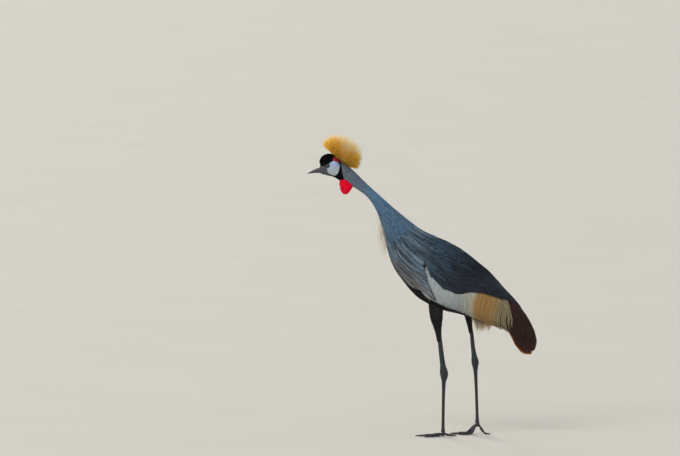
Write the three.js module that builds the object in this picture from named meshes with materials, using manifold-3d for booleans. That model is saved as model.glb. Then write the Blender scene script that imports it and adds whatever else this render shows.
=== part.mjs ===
// A grey crowned crane in mid stride, as a life-size museum model: neck stretched low and forward,
// bill level, the left leg carrying the weight and the right one pushing off behind.
// Millimetres, +Z up, the bird faces -X and its left side is -Y. The origin is on the floor,
// under the middle of the bird's length.
import * as THREE from "three";
import { mergeVertices } from "three/addons/utils/BufferGeometryUtils.js";
import Module from "manifold-3d";

const wasm = await Module();
wasm.setup();

const { lerp, clamp, smoothstep, degToRad } = THREE.MathUtils;
const vec = (x, y, z) => new THREE.Vector3(x, y, z);

// The gap between two solids that touch on the real bird.
const GAP = 0.35;
const LEFT = -1;
const RIGHT = 1;
const UP = vec(0, 0, 1);

// The body from the nape to the tip of the wing plumes, station by station down its length.
// top and bottom are the plumage's edge seen from the side, wide is half its width,
// and coat is how deep the plumage lies over the flesh above, below and beside.
const STATIONS = [
  { top: [-268, 952], bottom: [-290, 903], wide: 20, coat: [1, 1, 1] },
  { top: [-240, 928], bottom: [-262, 886], wide: 17.5, coat: [1, 1, 1] },
  { top: [-205, 893], bottom: [-230, 866], wide: 15.5, coat: [1, 1, 1] },
  { top: [-172, 862], bottom: [-195, 840], wide: 15.5, coat: [1, 1, 1] },
  { top: [-137, 831], bottom: [-167, 801], wide: 20, coat: [2, 3, 2] },
  { top: [-98, 796], bottom: [-148, 755], wide: 30, coat: [4, 6, 5] },
  { top: [-60, 765], bottom: [-136, 706], wide: 44, coat: [6, 9, 8] },
  { top: [-21, 735], bottom: [-122, 650], wide: 60, coat: [8, 12, 11] },
  { top: [25, 708], bottom: [-100, 588], wide: 76, coat: [10, 11, 14] },
  { top: [80, 686], bottom: [-55, 525], wide: 90, coat: [13, 7, 18] },
  { top: [138, 654], bottom: [-12, 483], wide: 98, coat: [17, 4, 23] },
  { top: [190, 614], bottom: [58, 446], wide: 99, coat: [24, 3, 28] },
  { top: [240, 571], bottom: [131, 427], wide: 94, coat: [30, 5, 33] },
  { top: [287, 518], bottom: [200, 401], wide: 84, coat: [36, 14, 39] },
  { top: [328, 472], bottom: [249, 382], wide: 68, coat: [39, 26, 41] },
  { top: [366, 422], bottom: [301, 360], wide: 50, coat: [36, 34, 35] },
  { top: [392, 372], bottom: [324, 320], wide: 35, coat: [36, 36, 28] },
  { top: [401, 335], bottom: [350, 290], wide: 24, coat: [30, 30, 20] },
  { top: [398, 303], bottom: [378, 285], wide: 12, coat: [11, 11, 10] },
];
// Where the head ends and the neck ends, and where the tail begins and its root ends.
const NECK_TOP = 0.5;
const NECK_FOOT = 4.3;
const RUMP = 13.4;
const TAIL_ROOT_END = 14.6;
const BODY_SIDES = 16;
const BODY_RINGS = 22;

// The skull, from the root of the bill to the nape: half heights above and below, half width.
const SKULL = [
  { x: -359, z: 934, size: [13, 13, 8] },
  { x: -348, z: 941, size: [27, 23, 15] },
  { x: -333, z: 950, size: [36, 35, 21.5] },
  { x: -316, z: 951, size: [36, 40, 24] },
  { x: -299, z: 944, size: [33, 42, 23] },
  { x: -283, z: 934, size: [27, 37, 20.5] },
  { x: -268, z: 922, size: [16, 22, 16] },
];
// The cushion of black velvet over the forehead and crown, and the bare cheek below it.
const CAP = { radii: [30, 19, 24], centre: [-331, 0, 964], pitch: -0.35 };
const EYE = { x: -332, z: 948, y: 17.6, radius: 7.6, lid: 6.3, lidThick: 1.6 };
const BILL = { tip: [-404, 919], root: [-346, 932], above: 13, below: 12, wide: 9, arch: 2.4 };
const NOSTRIL = { at: [-374, 931], radii: [5.5, 4, 1.5], y: 7.2 };
const MOUTH = { long: 24, high: 1.1, wide: 50, at: [-345, 926] };

// The wattle: two folds of bare red skin that hang side by side under the throat.
const WATTLE = { at: [-267, 881], radii: [27, 7.5, 33], apart: 5.5, pitch: 0.45 };

// The crest: stiff bristles in a round fan from a ridge that runs from the crown down the nape;
// the foremost and the lowest ones are shorter.
const CREST = { root: [-284, 0, 959], lean: 66, bristles: 92, length: 99, thick: 1.15 };
const CREST_RIDGE = { radii: [25, 11, 8], pitch: 0.8, along: [-17, 16] };
const CREST_FAN = { ahead: 84, behind: 68, across: 74 };

// Leg paths from inside the belly to the foot joint: x, z, half thickness fore and aft, and across.
const HIP_APART = 38;
const LEGS = {
  left: {
    side: LEFT,
    feathersEnd: 348,
    heel: 226,
    ankle: 16,
    path: [
      [46, 470, 27, 20],
      [47, 440, 27, 20],
      [50, 412, 20, 17],
      [54.5, 380, 13, 12],
      [58.5, 350, 8.5, 8],
      [61, 330, 6.3, 5.6],
      [67, 280, 6.6, 5.6],
      [71.5, 242, 8, 7],
      [74.5, 224, 12, 9.5],
      [76, 212, 13.5, 10],
      [76, 200, 11, 8.5],
      [74.5, 184, 7, 6],
      [73.5, 150, 5.2, 4.6],
      [72.5, 80, 5, 4.5],
      [72, 35, 5.5, 5.2],
      [72, 10, 7.5, 7],
    ],
  },
  right: {
    side: RIGHT,
    feathersEnd: 371,
    heel: 251,
    ankle: 42,
    path: [
      [152, 470, 22, 14],
      [158, 445, 21, 12],
      [165, 415, 15, 11],
      [169, 390, 11, 9.5],
      [171.5, 370, 8, 7.5],
      [173, 350, 6.3, 5.6],
      [179, 300, 6.8, 5.8],
      [184.5, 265, 9, 7.5],
      [187, 249, 12.5, 9.5],
      [188, 238, 12.5, 9.5],
      [188.5, 222, 8.5, 7],
      [189, 205, 6.3, 5.5],
      [190, 170, 5.2, 4.6],
      [191.5, 110, 5, 4.5],
      [192.5, 62, 5.5, 5],
      [193, 36, 7.5, 7],
    ],
  },
};
const LEG_SIDES = 10;

// The toes: heading from straight ahead towards the midline, length to the claw, half thickness.
const TOES = [
  { name: "middle", heading: -2, length: 84, thick: 6.2 },
  { name: "inner", heading: 30, length: 60, thick: 5.6 },
  { name: "outer", heading: -34, length: 68, thick: 5.6 },
  { name: "hind", heading: 168, length: 34, thick: 4.6 },
];
const TOE_SIDES = 7;
const TOE_END = 3.4;
const CLAW = 15;

// One draw after another from a seed, so that every build is alike.
let seed = 20417;
function draw(low = 0, high = 1) {
  seed = (seed + 0x6d2b79f5) | 0;
  let t = Math.imul(seed ^ (seed >>> 15), 1 | seed);
  t = (t + Math.imul(t ^ (t >>> 7), 61 | t)) ^ t;
  return lerp(low, high, ((t ^ (t >>> 14)) >>> 0) / 4294967296);
}

const lastStation = STATIONS.length - 1;
const curveThrough = (points) => new THREE.CatmullRomCurve3(points, false, "catmullrom");
const topLine = curveThrough(STATIONS.map((s) => vec(s.top[0], 0, s.top[1])));
const bottomLine = curveThrough(STATIONS.map((s) => vec(s.bottom[0], 0, s.bottom[1])));
const widths = curveThrough(STATIONS.map((s) => vec(s.wide, 0, 0)));
const coats = curveThrough(STATIONS.map((s) => vec(...s.coat)));

// The point at a station and an angle in degrees from the back, `depth` of the coat under the
// plumage (0 its edge, 1 the flesh), then lifted off it; with the way out and on down its length.
// The folded wings make the lower half of the plumage squarer than an ellipse.
function onBody(depth, station, degrees, side, lift = 0) {
  const u = clamp(station / lastStation, 0, 1);
  const top = topLine.getPoint(u);
  const bottom = bottomLine.getPoint(u);
  const coat = coats.getPoint(u).multiplyScalar(depth);
  const middle = top.clone().lerp(bottom, 0.5);
  const up = top.clone().sub(bottom);
  const half = up.length() / 2;
  up.normalize();
  const angle = degToRad(degrees);
  const cos = Math.cos(angle);
  const sin = Math.sin(angle);
  const square = cos < 0 ? 2 + (1 - clamp(depth, 0, 1)) * smoothstep(station, 8.5, 10.5) : 2;
  const c = Math.sign(cos) * Math.pow(Math.abs(cos), 2 / square);
  const s = Math.sign(sin) * Math.pow(Math.abs(sin), 2 / square);
  const high = half - (cos > 0 ? coat.x : coat.y);
  const wide = widths.getPoint(u).x - coat.z;
  const across = vec(0, side, 0);
  const out = up
    .clone()
    .multiplyScalar((Math.sign(c) * Math.pow(Math.abs(c), square - 1)) / high)
    .addScaledVector(across, (Math.sign(s) * Math.pow(Math.abs(s), square - 1)) / wide)
    .normalize();
  const point = middle
    .clone()
    .addScaledVector(up, high * c)
    .addScaledVector(across, wide * s)
    .addScaledVector(out, lift);
  return { point, out, along: vec(up.z, 0, -up.x), middle };
}

// A closed solid from rings of equal count; a ring of one point closes an end to a tip.
// Both flanks of a ring are cut alike, so that a thin vane keeps its thickness.
function loft(rings) {
  const corners = [];
  const faces = [];
  const start = [];
  for (const ring of rings) {
    start.push(corners.length);
    corners.push(...ring);
  }
  const n = Math.max(...rings.map((r) => r.length));
  for (let i = 0; i + 1 < rings.length; i++) {
    const [a, b] = [start[i], start[i + 1]];
    for (let k = 0; k < n; k++) {
      const j = (k + 1) % n;
      if (rings[i].length === 1) faces.push([a, b + j, b + k]);
      else if (rings[i + 1].length === 1) faces.push([a + k, a + j, b]);
      else if (k < n / 2) faces.push([a + k, a + j, b + j], [a + k, b + j, b + k]);
      else faces.push([a + k, a + j, b + k], [a + j, b + j, b + k]);
    }
  }
  for (const [at, turned] of [
    [0, true],
    [rings.length - 1, false],
  ]) {
    if (rings[at].length === 1) continue;
    for (let k = 1; k + 1 < n; k++) {
      const face = [start[at], start[at] + k, start[at] + k + 1];
      faces.push(turned ? [face[0], face[2], face[1]] : face);
    }
  }
  return closed(corners, faces);
}

// A solid from corners and faces, turned so that its faces point out.
function closed(corners, faces) {
  let volume = 0;
  for (const [a, b, c] of faces) {
    volume += corners[a].dot(corners[b].clone().cross(corners[c]));
  }
  const turned = volume < 0 ? faces.map(([a, b, c]) => [a, c, b]) : faces;
  return new wasm.Manifold(
    new wasm.Mesh({
      numProp: 3,
      vertProperties: new Float32Array(corners.flatMap((p) => [p.x, p.y, p.z])),
      triVerts: new Uint32Array(turned.flat()),
    }),
  );
}

// A three.js geometry as a solid.
function solidOf(geometry) {
  const bare = geometry.index ? geometry.toNonIndexed() : geometry.clone();
  bare.deleteAttribute("normal");
  bare.deleteAttribute("uv");
  const merged = mergeVertices(bare, 1e-3);
  return new wasm.Manifold(
    new wasm.Mesh({
      numProp: 3,
      vertProperties: new Float32Array(merged.attributes.position.array),
      triVerts: new Uint32Array(merged.index.array),
    }),
  );
}

const union = (solids) => wasm.Manifold.union(solids);

// The largest closed surface of a solid, so that no scrap and no sealed hollow is left.
function largest(solid) {
  return solid.decompose().reduce((best, p) => (p.volume() > best.volume() ? p : best));
}

// A ball with its own three radii, turned about Y by the pitch and then moved.
function ball(radii, centre, pitch = 0, across = 12, around = 8) {
  const g = new THREE.SphereGeometry(1, across, around);
  g.scale(...radii);
  g.rotateY(pitch);
  g.translate(...centre);
  return solidOf(g);
}

// The half of space ahead of a plane, as a big block, to cut with.
function ahead(point, normal) {
  const size = 3000;
  const g = new THREE.BoxGeometry(size, size, size);
  g.translate(size / 2, 0, 0);
  g.applyQuaternion(
    new THREE.Quaternion().setFromUnitVectors(vec(1, 0, 0), normal.clone().normalize()),
  );
  g.translate(point.x, point.y, point.z);
  return solidOf(g);
}

// Both sides of a thin cut through a solid: behind the plane first, then ahead of it.
function part(solid, point, normal) {
  const half = normal.clone().normalize().multiplyScalar(GAP / 2);
  return [
    solid.subtract(ahead(point.clone().sub(half), normal)),
    solid.intersect(ahead(point.clone().add(half), normal)),
  ];
}

// The flesh from the nape to the root of the tail, grown evenly where it is used to cut with.
function flesh(grow = 0) {
  const rings = [];
  for (let i = 0; i <= BODY_RINGS; i++) {
    const station = (TAIL_ROOT_END * i) / BODY_RINGS;
    const ring = [];
    for (let k = 0; k < BODY_SIDES; k++) {
      ring.push(onBody(1, station, (360 * (k + 0.5)) / BODY_SIDES, LEFT, grow).point);
    }
    rings.push(ring);
  }
  return loft(rings);
}

function skull(grow = 0) {
  const rings = SKULL.map(({ x, z, size: [above, below, wide] }, i) => {
    const ring = [];
    for (let k = 0; k < BODY_SIDES; k++) {
      const angle = (2 * Math.PI * (k + 0.5)) / BODY_SIDES;
      const c = Math.cos(angle);
      const high = (c > 0 ? above : below) + grow;
      const y = (wide + grow) * Math.sin(angle);
      ring.push(vec(i ? x : x - grow, y, z + high * c));
    }
    return ring;
  });
  const cap = ball(
    CAP.radii.map((r) => r + grow),
    CAP.centre,
    CAP.pitch,
  );
  return union([loft(rings), cap]);
}

// The bill: a stout, pointed cone, a little arched, parted along the mouth.
function bill() {
  const rings = [];
  const [steps, sides] = [7, 12];
  for (let i = 0; i < steps; i++) {
    const share = (i / (steps - 1)) * 0.97;
    const left = Math.pow(1 - share, 0.8);
    const x = lerp(BILL.root[0], BILL.tip[0], share);
    const z = lerp(BILL.root[1], BILL.tip[1], share) + BILL.arch * Math.sin(Math.PI * share);
    const ring = [];
    for (let k = 0; k < sides; k++) {
      const angle = (2 * Math.PI * (k + 0.5)) / sides;
      const c = Math.cos(angle);
      const high = (c > 0 ? BILL.above : BILL.below) * left;
      ring.push(vec(x, BILL.wide * left * Math.sin(angle), z + high * c));
    }
    rings.push(ring);
  }
  return loft([...rings, [vec(BILL.tip[0], 0, BILL.tip[1])]]);
}

const eyePlace = (side) => [EYE.x, side * EYE.y, EYE.z];

// The rim of lids round an eye, set into the side of the face.
function lids(side) {
  const g = new THREE.TorusGeometry(EYE.lid, EYE.lidThick, 5, 12);
  g.rotateX(Math.PI / 2);
  g.rotateZ(side * 0.2);
  const [x, y, z] = eyePlace(side);
  g.translate(x - 0.6, y + side * 4.2, z);
  return solidOf(g);
}

// How much deeper a feather's root lies than the line of the rest of it.
const sunk = (u, deep) => deep * Math.pow(Math.max(0, 1 - u / 0.25), 2);

// One vane or lock: a spine gives its points and the ways out; wide and thick are halves there;
// tip is how blunt it ends, and roll tilts it so that neighbours lie over one another.
function vane(spine, { wide, thick, tip = 0.5, roll = 0, steps = 4 }) {
  const rings = [];
  for (let i = 0; i < steps; i++) {
    const u = 1 - Math.pow(1 - i / steps, tip < 0.5 ? 1.5 : 1.1);
    const here = spine(u);
    const tangent = spine(u + 0.02).point.sub(here.point).normalize();
    const side = here.out.clone().cross(tangent).normalize();
    const out = tangent.clone().cross(side).normalize();
    side.applyAxisAngle(tangent, roll);
    out.applyAxisAngle(tangent, roll);
    const w = wide * Math.min(1, 0.6 + 1.4 * u) * Math.pow(1 - u, tip);
    const t = thick * (1 - 0.5 * u);
    const place = (a, b) => here.point.clone().addScaledVector(side, a).addScaledVector(out, b);
    rings.push([place(w, 0), place(0, t), place(-w, 0), place(0, -t)]);
  }
  rings.push([spine(1).point]);
  return loft(rings);
}

// A spine over the body between two places, each [station, degrees, lift over the plumage].
// bend pushes its middle along the body, so that hanging plumes curve.
function between(root, tip, side, bend = 0) {
  return (u) => {
    const hump = bend * Math.sin(Math.PI * Math.min(u, 1));
    const station = lerp(root[0], tip[0], u) + hump;
    const degrees = lerp(root[1], tip[1], u);
    return onBody(0, station, degrees, side, lerp(root[2], tip[2], u) - sunk(u, 4));
  };
}

// A thin bristle of three sides along a bowed line.
function bristle(root, tip, bow, thick, steps = 2) {
  const along = tip.clone().sub(root).normalize();
  const side = Math.abs(along.y) > 0.9 ? vec(1, 0, 0) : vec(0, 1, 0);
  const a = side.cross(along).normalize();
  const b = along.clone().cross(a);
  const rings = [];
  for (let i = 0; i < steps; i++) {
    const u = i / steps;
    const at = root.clone().lerp(tip, u).addScaledVector(bow, Math.sin(Math.PI * u));
    const r = thick * (1 - 0.45 * u);
    rings.push(
      [0, 1, 2].map((k) =>
        at
          .clone()
          .addScaledVector(a, r * Math.cos((2 * Math.PI * k) / 3))
          .addScaledVector(b, r * Math.sin((2 * Math.PI * k) / 3)),
      ),
    );
  }
  return loft([...rings, [tip]]);
}

// The crest: bristles spread evenly over a fan, rooted in a low boss on the nape.
function crest() {
  const centre = vec(...CREST.root);
  const lean = degToRad(CREST.lean);
  const axis = vec(Math.cos(lean), 0, Math.sin(lean));
  const fore = vec(-Math.sin(lean), 0, Math.cos(lean));
  const solids = [ball(CREST_RIDGE.radii, CREST.root, CREST_RIDGE.pitch)];
  for (let i = 0; i < CREST.bristles; i++) {
    const ring = Math.sqrt((i + 0.5) / CREST.bristles);
    const turn = i * 2.39996;
    const [x, y] = [ring * Math.cos(turn), ring * Math.sin(turn)];
    const foreTilt = degToRad(x > 0 ? CREST_FAN.ahead : CREST_FAN.behind) * x;
    const sideTilt = degToRad(CREST_FAN.across) * y;
    const tilt = Math.hypot(foreTilt, sideTilt);
    const way = axis.clone().multiplyScalar(Math.cos(tilt));
    way.addScaledVector(fore, (Math.sin(tilt) * foreTilt) / tilt);
    way.y += (Math.sin(tilt) * sideTilt) / tilt;
    way.normalize();
    const short = x < 0 ? 0.44 * Math.pow(-x, 1.6) : 0.3 * Math.pow(x, 1.8);
    const length = CREST.length * (1 - short) * draw(0.9, 1);
    const [back, down] = CREST_RIDGE.along;
    const root = centre.clone().add(vec(back * x, 8 * y, down * x));
    const tip = root.clone().addScaledVector(way, length);
    const bow = vec(0, 0, 2.5).addScaledVector(way, -2.5 * way.z);
    solids.push(bristle(root, tip, bow, CREST.thick));
  }
  return union(solids);
}

// The hackles of neck and breast: narrow locks in rows. Their lie follows the neck above, and
// sweeps back and up under it, so that they end over the front of the folded wing.
const HACKLE_ROWS = [
  { root: 4.5, count: 4, from: 14 },
  { root: 5.3, count: 6, from: 12 },
  { root: 6.1, count: 7, from: 14 },
  { root: 6.9, count: 8, from: 14 },
  { root: 7.6, count: 6, from: 66 },
];
const hackleLie = (station, degrees) =>
  degrees < 60 ? degrees : 60 + (degrees - 60) * (1 - 0.4 * smoothstep(station, 5.5, 10.7));

function hackle(root, degrees, side) {
  const low = smoothstep(degrees, 60, 180);
  const long = lerp(1.9, 2.65, low) * draw(0.9, 1.04);
  const sway = draw(-3, 3);
  const lie = (u) => {
    const station = root + long * u;
    const angle = hackleLie(station, degrees) + sway * u;
    return onBody(lerp(0.92, 0.01, u) + sunk(u, 0.5), station, angle, side);
  };
  const round = widths.getPoint((root + 1) / lastStation).x;
  return vane(lie, { wide: 3.2 + round * 0.085, thick: 0.35 + round * 0.008, tip: 0.6, steps: 3 });
}

function hackles() {
  const solids = [];
  HACKLE_ROWS.forEach(({ root, count, from }, row) => {
    for (let k = 0; k < count; k++) {
      const degrees = lerp(from, 172, (k + (row % 2 ? 0.15 : 0.6)) / count);
      for (const side of [LEFT, RIGHT]) {
        solids.push(hackle(root + draw(-0.08, 0.08), degrees + draw(-2, 2), side));
      }
    }
    solids.push(hackle(root, 180, LEFT));
  });
  return solids;
}

// Loose pale filaments that hang from the front of the neck's foot.
function wisps() {
  const solids = [];
  for (let i = 0; i < 8; i++) {
    const station = lerp(4.6, 6.1, i / 7);
    const side = i % 2 ? LEFT : RIGHT;
    const root = onBody(1.02, station, 178 - draw(0, 26), side).point;
    const tip = root.clone().add(vec(draw(-22, 2), side * draw(0, 9), -draw(80, 105)));
    solids.push(bristle(root, tip, vec(-9, 0, 0), 1.1, 3));
  }
  return solids;
}

// A folded wing: a plate against the flank, and over it every feather of its tiers.
const WING = { front: 8.8, back: 13.9, high: 6, low: 118, deep: -12, across: 5, along: 7 };
const mantleLie = (station, degrees) => degrees * (1 - 0.47 * smoothstep(station, 10.6, 13.6));

function sheet(outer, inner, across, along) {
  const corners = [];
  for (const face of [outer, inner]) {
    for (let i = 0; i <= along; i++) {
      for (let k = 0; k <= across; k++) corners.push(face(i / along, k / across));
    }
  }
  const row = across + 1;
  const half = row * (along + 1);
  const faces = [];
  for (let i = 0; i < along; i++) {
    for (let k = 0; k < across; k++) {
      const a = i * row + k;
      faces.push([a, a + 1, a + row + 1], [a, a + row + 1, a + row]);
      faces.push([a + half, a + row + 1 + half, a + 1 + half]);
      faces.push([a + half, a + row + half, a + row + 1 + half]);
    }
  }
  const edge = [];
  for (let k = 0; k < across; k++) edge.push([k, k + 1]);
  for (let i = 0; i < along; i++) edge.push([i * row + across, (i + 1) * row + across]);
  for (let k = across; k > 0; k--) edge.push([along * row + k, along * row + k - 1]);
  for (let i = along; i > 0; i--) edge.push([i * row, (i - 1) * row]);
  for (const [a, b] of edge) faces.push([b, a, a + half], [b, a + half, b + half]);
  return closed(corners, faces);
}

function wingPlate(side) {
  const place = (i, k) => {
    const degrees = lerp(WING.high, WING.low, k);
    const front = WING.front + 1.1 * smoothstep(degrees, 80, 115);
    return [lerp(front, WING.back, i), degrees];
  };
  const outer = (i, k) => onBody(0, ...place(i, k), side, WING.deep).point;
  const inner = (i, k) => {
    const [station, degrees] = place(i, k);
    const thin = smoothstep(station, 11.8, 13.2);
    const deep = onBody(0, station, degrees, side, WING.deep - 5).point;
    return onBody(1, station, degrees, side, -1).point.lerp(deep, thin);
  };
  return sheet(outer, inner, WING.across, WING.along);
}

// The slate mantle and scapulars: tiers of pointed feathers along the back, which draw together
// to one point over the base of the plumes.
const MANTLE_ROWS = [
  { root: 8.9, count: 5, long: 2.1 },
  { root: 9.85, count: 4, long: 2.25 },
  { root: 10.8, count: 4, long: 2.1 },
  { root: 11.5, count: 3, long: 1.95 },
];

function mantle(side) {
  const solids = [];
  MANTLE_ROWS.forEach(({ root, count, long }, row) => {
    for (let k = 0; k < count; k++) {
      const degrees = lerp(5, 91, (k + (row % 2 ? 0.15 : 0.45)) / (count - 0.5));
      const reach = long * draw(0.95, 1.04);
      const spine = (u) => {
        const station = root + reach * u;
        const lift = lerp(-10.5, 0.2, u) - sunk(u, 5);
        return onBody(0, station, mantleLie(station, degrees), side, lift);
      };
      solids.push(vane(spine, { wide: 16, thick: 0.8, tip: 0.55, roll: side * 0.1, steps: 3 }));
    }
  });
  return solids;
}

// The coverts hang down from under the mantle: white ones first, then gold ones, then a few
// straw ones that curve over the base of the maroon secondaries.
const HANGING = [
  { root: [9.3, 70], tip: [10, 134], wide: 14 },
  { root: [9.75, 70], tip: [10.55, 141], wide: 16 },
  { root: [10.25, 70], tip: [11.15, 146], wide: 17 },
  { root: [10.75, 70], tip: [11.7, 151], wide: 17 },
  { root: [11.2, 69], tip: [12.15, 156], wide: 16 },
  { root: [11.6, 66], tip: [12.6, 163], wide: 15 },
  { root: [11.9, 60], tip: [12.98, 166], wide: 14 },
  { root: [12.2, 54], tip: [13.38, 168], wide: 13 },
  { root: [12.45, 46], tip: [13.8, 168], wide: 12 },
  { root: [12.65, 40], tip: [14.25, 168], wide: 11 },
  { root: [12.85, 34], tip: [14.75, 164], wide: 8 },
  { root: [13, 30], tip: [15.05, 138], wide: 5 },
  { root: [13.05, 26], tip: [14.9, 104], wide: 4 },
];
// How far below the near wing's edge the far wing's gold plumes droop.
const FAR_DROOP = 46;

function hangingPlumes(side) {
  return HANGING.map(({ root, tip, wide }, i) => {
    const spine = between([...root, -12], [...tip, i < 2 ? -9 : -3.2], side, 0.05);
    const droop = side === RIGHT && i >= 6 && i <= 9 ? FAR_DROOP : 0;
    const lower = (u) => {
      const here = spine(u);
      here.point.z -= droop * Math.pow(u, 3);
      here.point.x += droop * 0.1 * Math.pow(u, 3);
      return here;
    };
    return vane(lower, { wide, thick: 0.8, tip: 0.24, roll: side * 0.1, steps: 4 });
  });
}

// The maroon secondaries: broad, blunt feathers that droop over the tail to the tip of the bird.
const MAROON = [
  { root: [12.9, 13], tip: [17.3, 14] },
  { root: [13, 28], tip: [17.9, 44] },
  { root: [13.1, 43], tip: [18, 92] },
  { root: [13.2, 58], tip: [17.85, 136] },
  { root: [13.3, 73], tip: [17.3, 152] },
  { root: [13.4, 88], tip: [16.6, 160] },
  { root: [13.5, 103], tip: [15.9, 163] },
];

function maroonPlumes(side) {
  return MAROON.map(({ root, tip }) => {
    const spine = between([...root, -14], [...tip, -1.2], side);
    return vane(spine, { wide: 14, thick: 0.8, tip: 0.3, roll: side * 0.15, steps: 4 });
  });
}

// The black primaries show along the wing's lower edge.
function primaries(side) {
  const solids = [];
  for (let k = 0; k < 2; k++) {
    const root = [10, 112 - 11 * k, -13 - 3 * k];
    const tip = [13.4 - k * 0.8, 159 - 6 * k, -7 - 3 * k];
    solids.push(vane(between(root, tip, side), { wide: 8, thick: 0.8, tip: 0.45, steps: 4 }));
  }
  return solids;
}

function wing(side) {
  const feathers = [mantle, hangingPlumes, maroonPlumes, primaries].flatMap((f) => f(side));
  const own = ahead(vec(0, side * GAP, 0), vec(0, side, 0));
  return union([wingPlate(side), ...feathers]).intersect(own);
}

// The tail feathers, folded narrow under the secondaries.
function tailFeathers() {
  const solids = [];
  for (let k = 0; k < 10; k++) {
    const across = (k - 4.5) / 4.5;
    const depth = Math.abs(across);
    const spine = (u) => {
      const here = onBody(1, lerp(13.9, 16.9 - 0.5 * depth, u), 0, LEFT);
      const under = onBody(0, lerp(13.9, 16.9 - 0.5 * depth, u), 0, LEFT);
      const point = here.middle.clone().addScaledVector(under.out, 3 - 6 * depth);
      point.y = across * lerp(9, 15, Math.sin(Math.PI * Math.min(u, 1) * 0.8)) * (1 - 0.3 * u);
      return { point, out: under.out };
    };
    solids.push(vane(spine, { wide: 7, thick: 0.8, tip: 0.35, steps: 4 }));
  }
  return solids;
}

function leg({ side, path }, grow = 0) {
  const rings = path.map(([x, z, fore, wide]) => {
    const ring = [];
    for (let k = 0; k < LEG_SIDES; k++) {
      const angle = (2 * Math.PI * (k + 0.5)) / LEG_SIDES;
      const y = side * HIP_APART + (wide + grow) * Math.sin(angle);
      ring.push(vec(x + (fore + grow) * Math.cos(angle), y, z));
    }
    return ring;
  });
  return loft(rings);
}

// A toe's middle line: it leaves the joint at its height, comes down, and then lies on the floor.
function toeLine(joint, toe, share) {
  const turn = degToRad(toe.heading) * -joint.side;
  const reach = share * toe.length;
  const rest = lerp(toe.thick, TOE_END, share) * 0.85;
  const down = smoothstep(share, 0, toe.name === "hind" ? 0.9 : 0.5);
  const point = joint.point.clone().add(vec(-Math.cos(turn) * reach, Math.sin(turn) * reach, 0));
  point.z = lerp(joint.point.z, rest, down);
  return point;
}

function ringAbout(at, towards, radius, sides) {
  const along = towards.clone().sub(at).normalize();
  const side = UP.clone().cross(along).normalize();
  const up = along.clone().cross(side);
  const ring = [];
  for (let k = 0; k < sides; k++) {
    const angle = (2 * Math.PI * (k + 0.5)) / sides;
    const point = at.clone().addScaledVector(side, radius * Math.cos(angle));
    ring.push(point.addScaledVector(up, radius * Math.sin(angle)));
  }
  return ring;
}

function toe(joint, made) {
  const steps = 4;
  const rings = [];
  for (let i = 0; i <= steps; i++) {
    const share = i / steps;
    const at = toeLine(joint, made, share);
    const knuckle = 1 + 0.12 * Math.cos(share * Math.PI * 4);
    const radius = lerp(made.thick, TOE_END, share) * knuckle;
    rings.push(ringAbout(at, toeLine(joint, made, share + 0.02), radius, TOE_SIDES));
  }
  return loft(rings);
}

function claw(joint, made) {
  const root = toeLine(joint, made, 1 + GAP / made.length);
  const way = toeLine(joint, made, 1.02).sub(toeLine(joint, made, 1)).setZ(0).normalize();
  const rings = [];
  const steps = 3;
  for (let i = 0; i < steps; i++) {
    const share = i / steps;
    const at = root.clone().addScaledVector(way, CLAW * share);
    at.z += 1.2 * Math.sin(Math.PI * share) - 1.2 * share;
    rings.push(ringAbout(at, at.clone().add(way), 2.6 * (1 - share * 0.85), 6));
  }
  const tip = root.clone().addScaledVector(way, CLAW);
  tip.z = 0.6;
  return loft([...rings, [tip]]);
}

// Everything is cut from its whole so that the nodes meet with one thin gap.
const fleshWhole = union([flesh(), skull()]);
const fleshCutter = union([flesh(GAP), skull(GAP)]);
const at = (station) => onBody(1, station, 0, LEFT);
const [headWhole, belowHead] = part(fleshWhole, at(NECK_TOP).middle, at(NECK_TOP).along);
const [neckSolid, belowNeck] = part(belowHead, at(NECK_FOOT).middle, at(NECK_FOOT).along);
const [torsoFlesh, tailFlesh] = part(belowNeck, at(RUMP).middle, at(RUMP).along);

const SIDES = [LEFT, RIGHT];
const eyes = SIDES.map((s) => ball([EYE.radius, EYE.radius, EYE.radius], eyePlace(s)));
const hole = EYE.radius + GAP;
const sockets = SIDES.map((s) => ball([hole, hole, hole], eyePlace(s)));
const mouthLine = new THREE.BoxGeometry(MOUTH.long, MOUTH.wide, MOUTH.high);
mouthLine.translate(MOUTH.at[0], 0, MOUTH.at[1]);
const mouthCore = ball([60, 12, 40], [MOUTH.at[0], 0, MOUTH.at[1]]);
const headSolid = union([headWhole, lids(LEFT), lids(RIGHT)])
  .subtract(union(sockets))
  .subtract(solidOf(mouthLine).subtract(mouthCore));

const nostrils = SIDES.map((s) => ball(NOSTRIL.radii, [NOSTRIL.at[0], s * NOSTRIL.y, NOSTRIL.at[1]], -0.2, 8, 6));
const billWhole = bill().subtract(fleshCutter);
const mouthUp = vec(BILL.tip[1] - BILL.root[1], 0, BILL.root[0] - BILL.tip[0]);
const [billLow, billHigh] = part(billWhole, vec(BILL.root[0], 0, BILL.root[1] - 2), mouthUp);

const wattles = union(
  SIDES.map((s) => {
    const g = new THREE.SphereGeometry(1, 12, 8);
    const p = g.attributes.position;
    for (let i = 0; i < p.count; i++) {
      const narrow = 0.5 + 0.25 * (1 - p.getZ(i));
      const fold = 1 + 0.18 * Math.sin(4 * p.getX(i) + 1);
      p.setX(i, p.getX(i) * narrow);
      p.setY(i, p.getY(i) * narrow * fold);
    }
    g.scale(...WATTLE.radii);
    g.rotateX(s * 0.15);
    g.rotateY(WATTLE.pitch);
    g.translate(WATTLE.at[0], s * WATTLE.apart, WATTLE.at[1]);
    return solidOf(g);
  }),
);

const bird = new THREE.Group();

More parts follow.
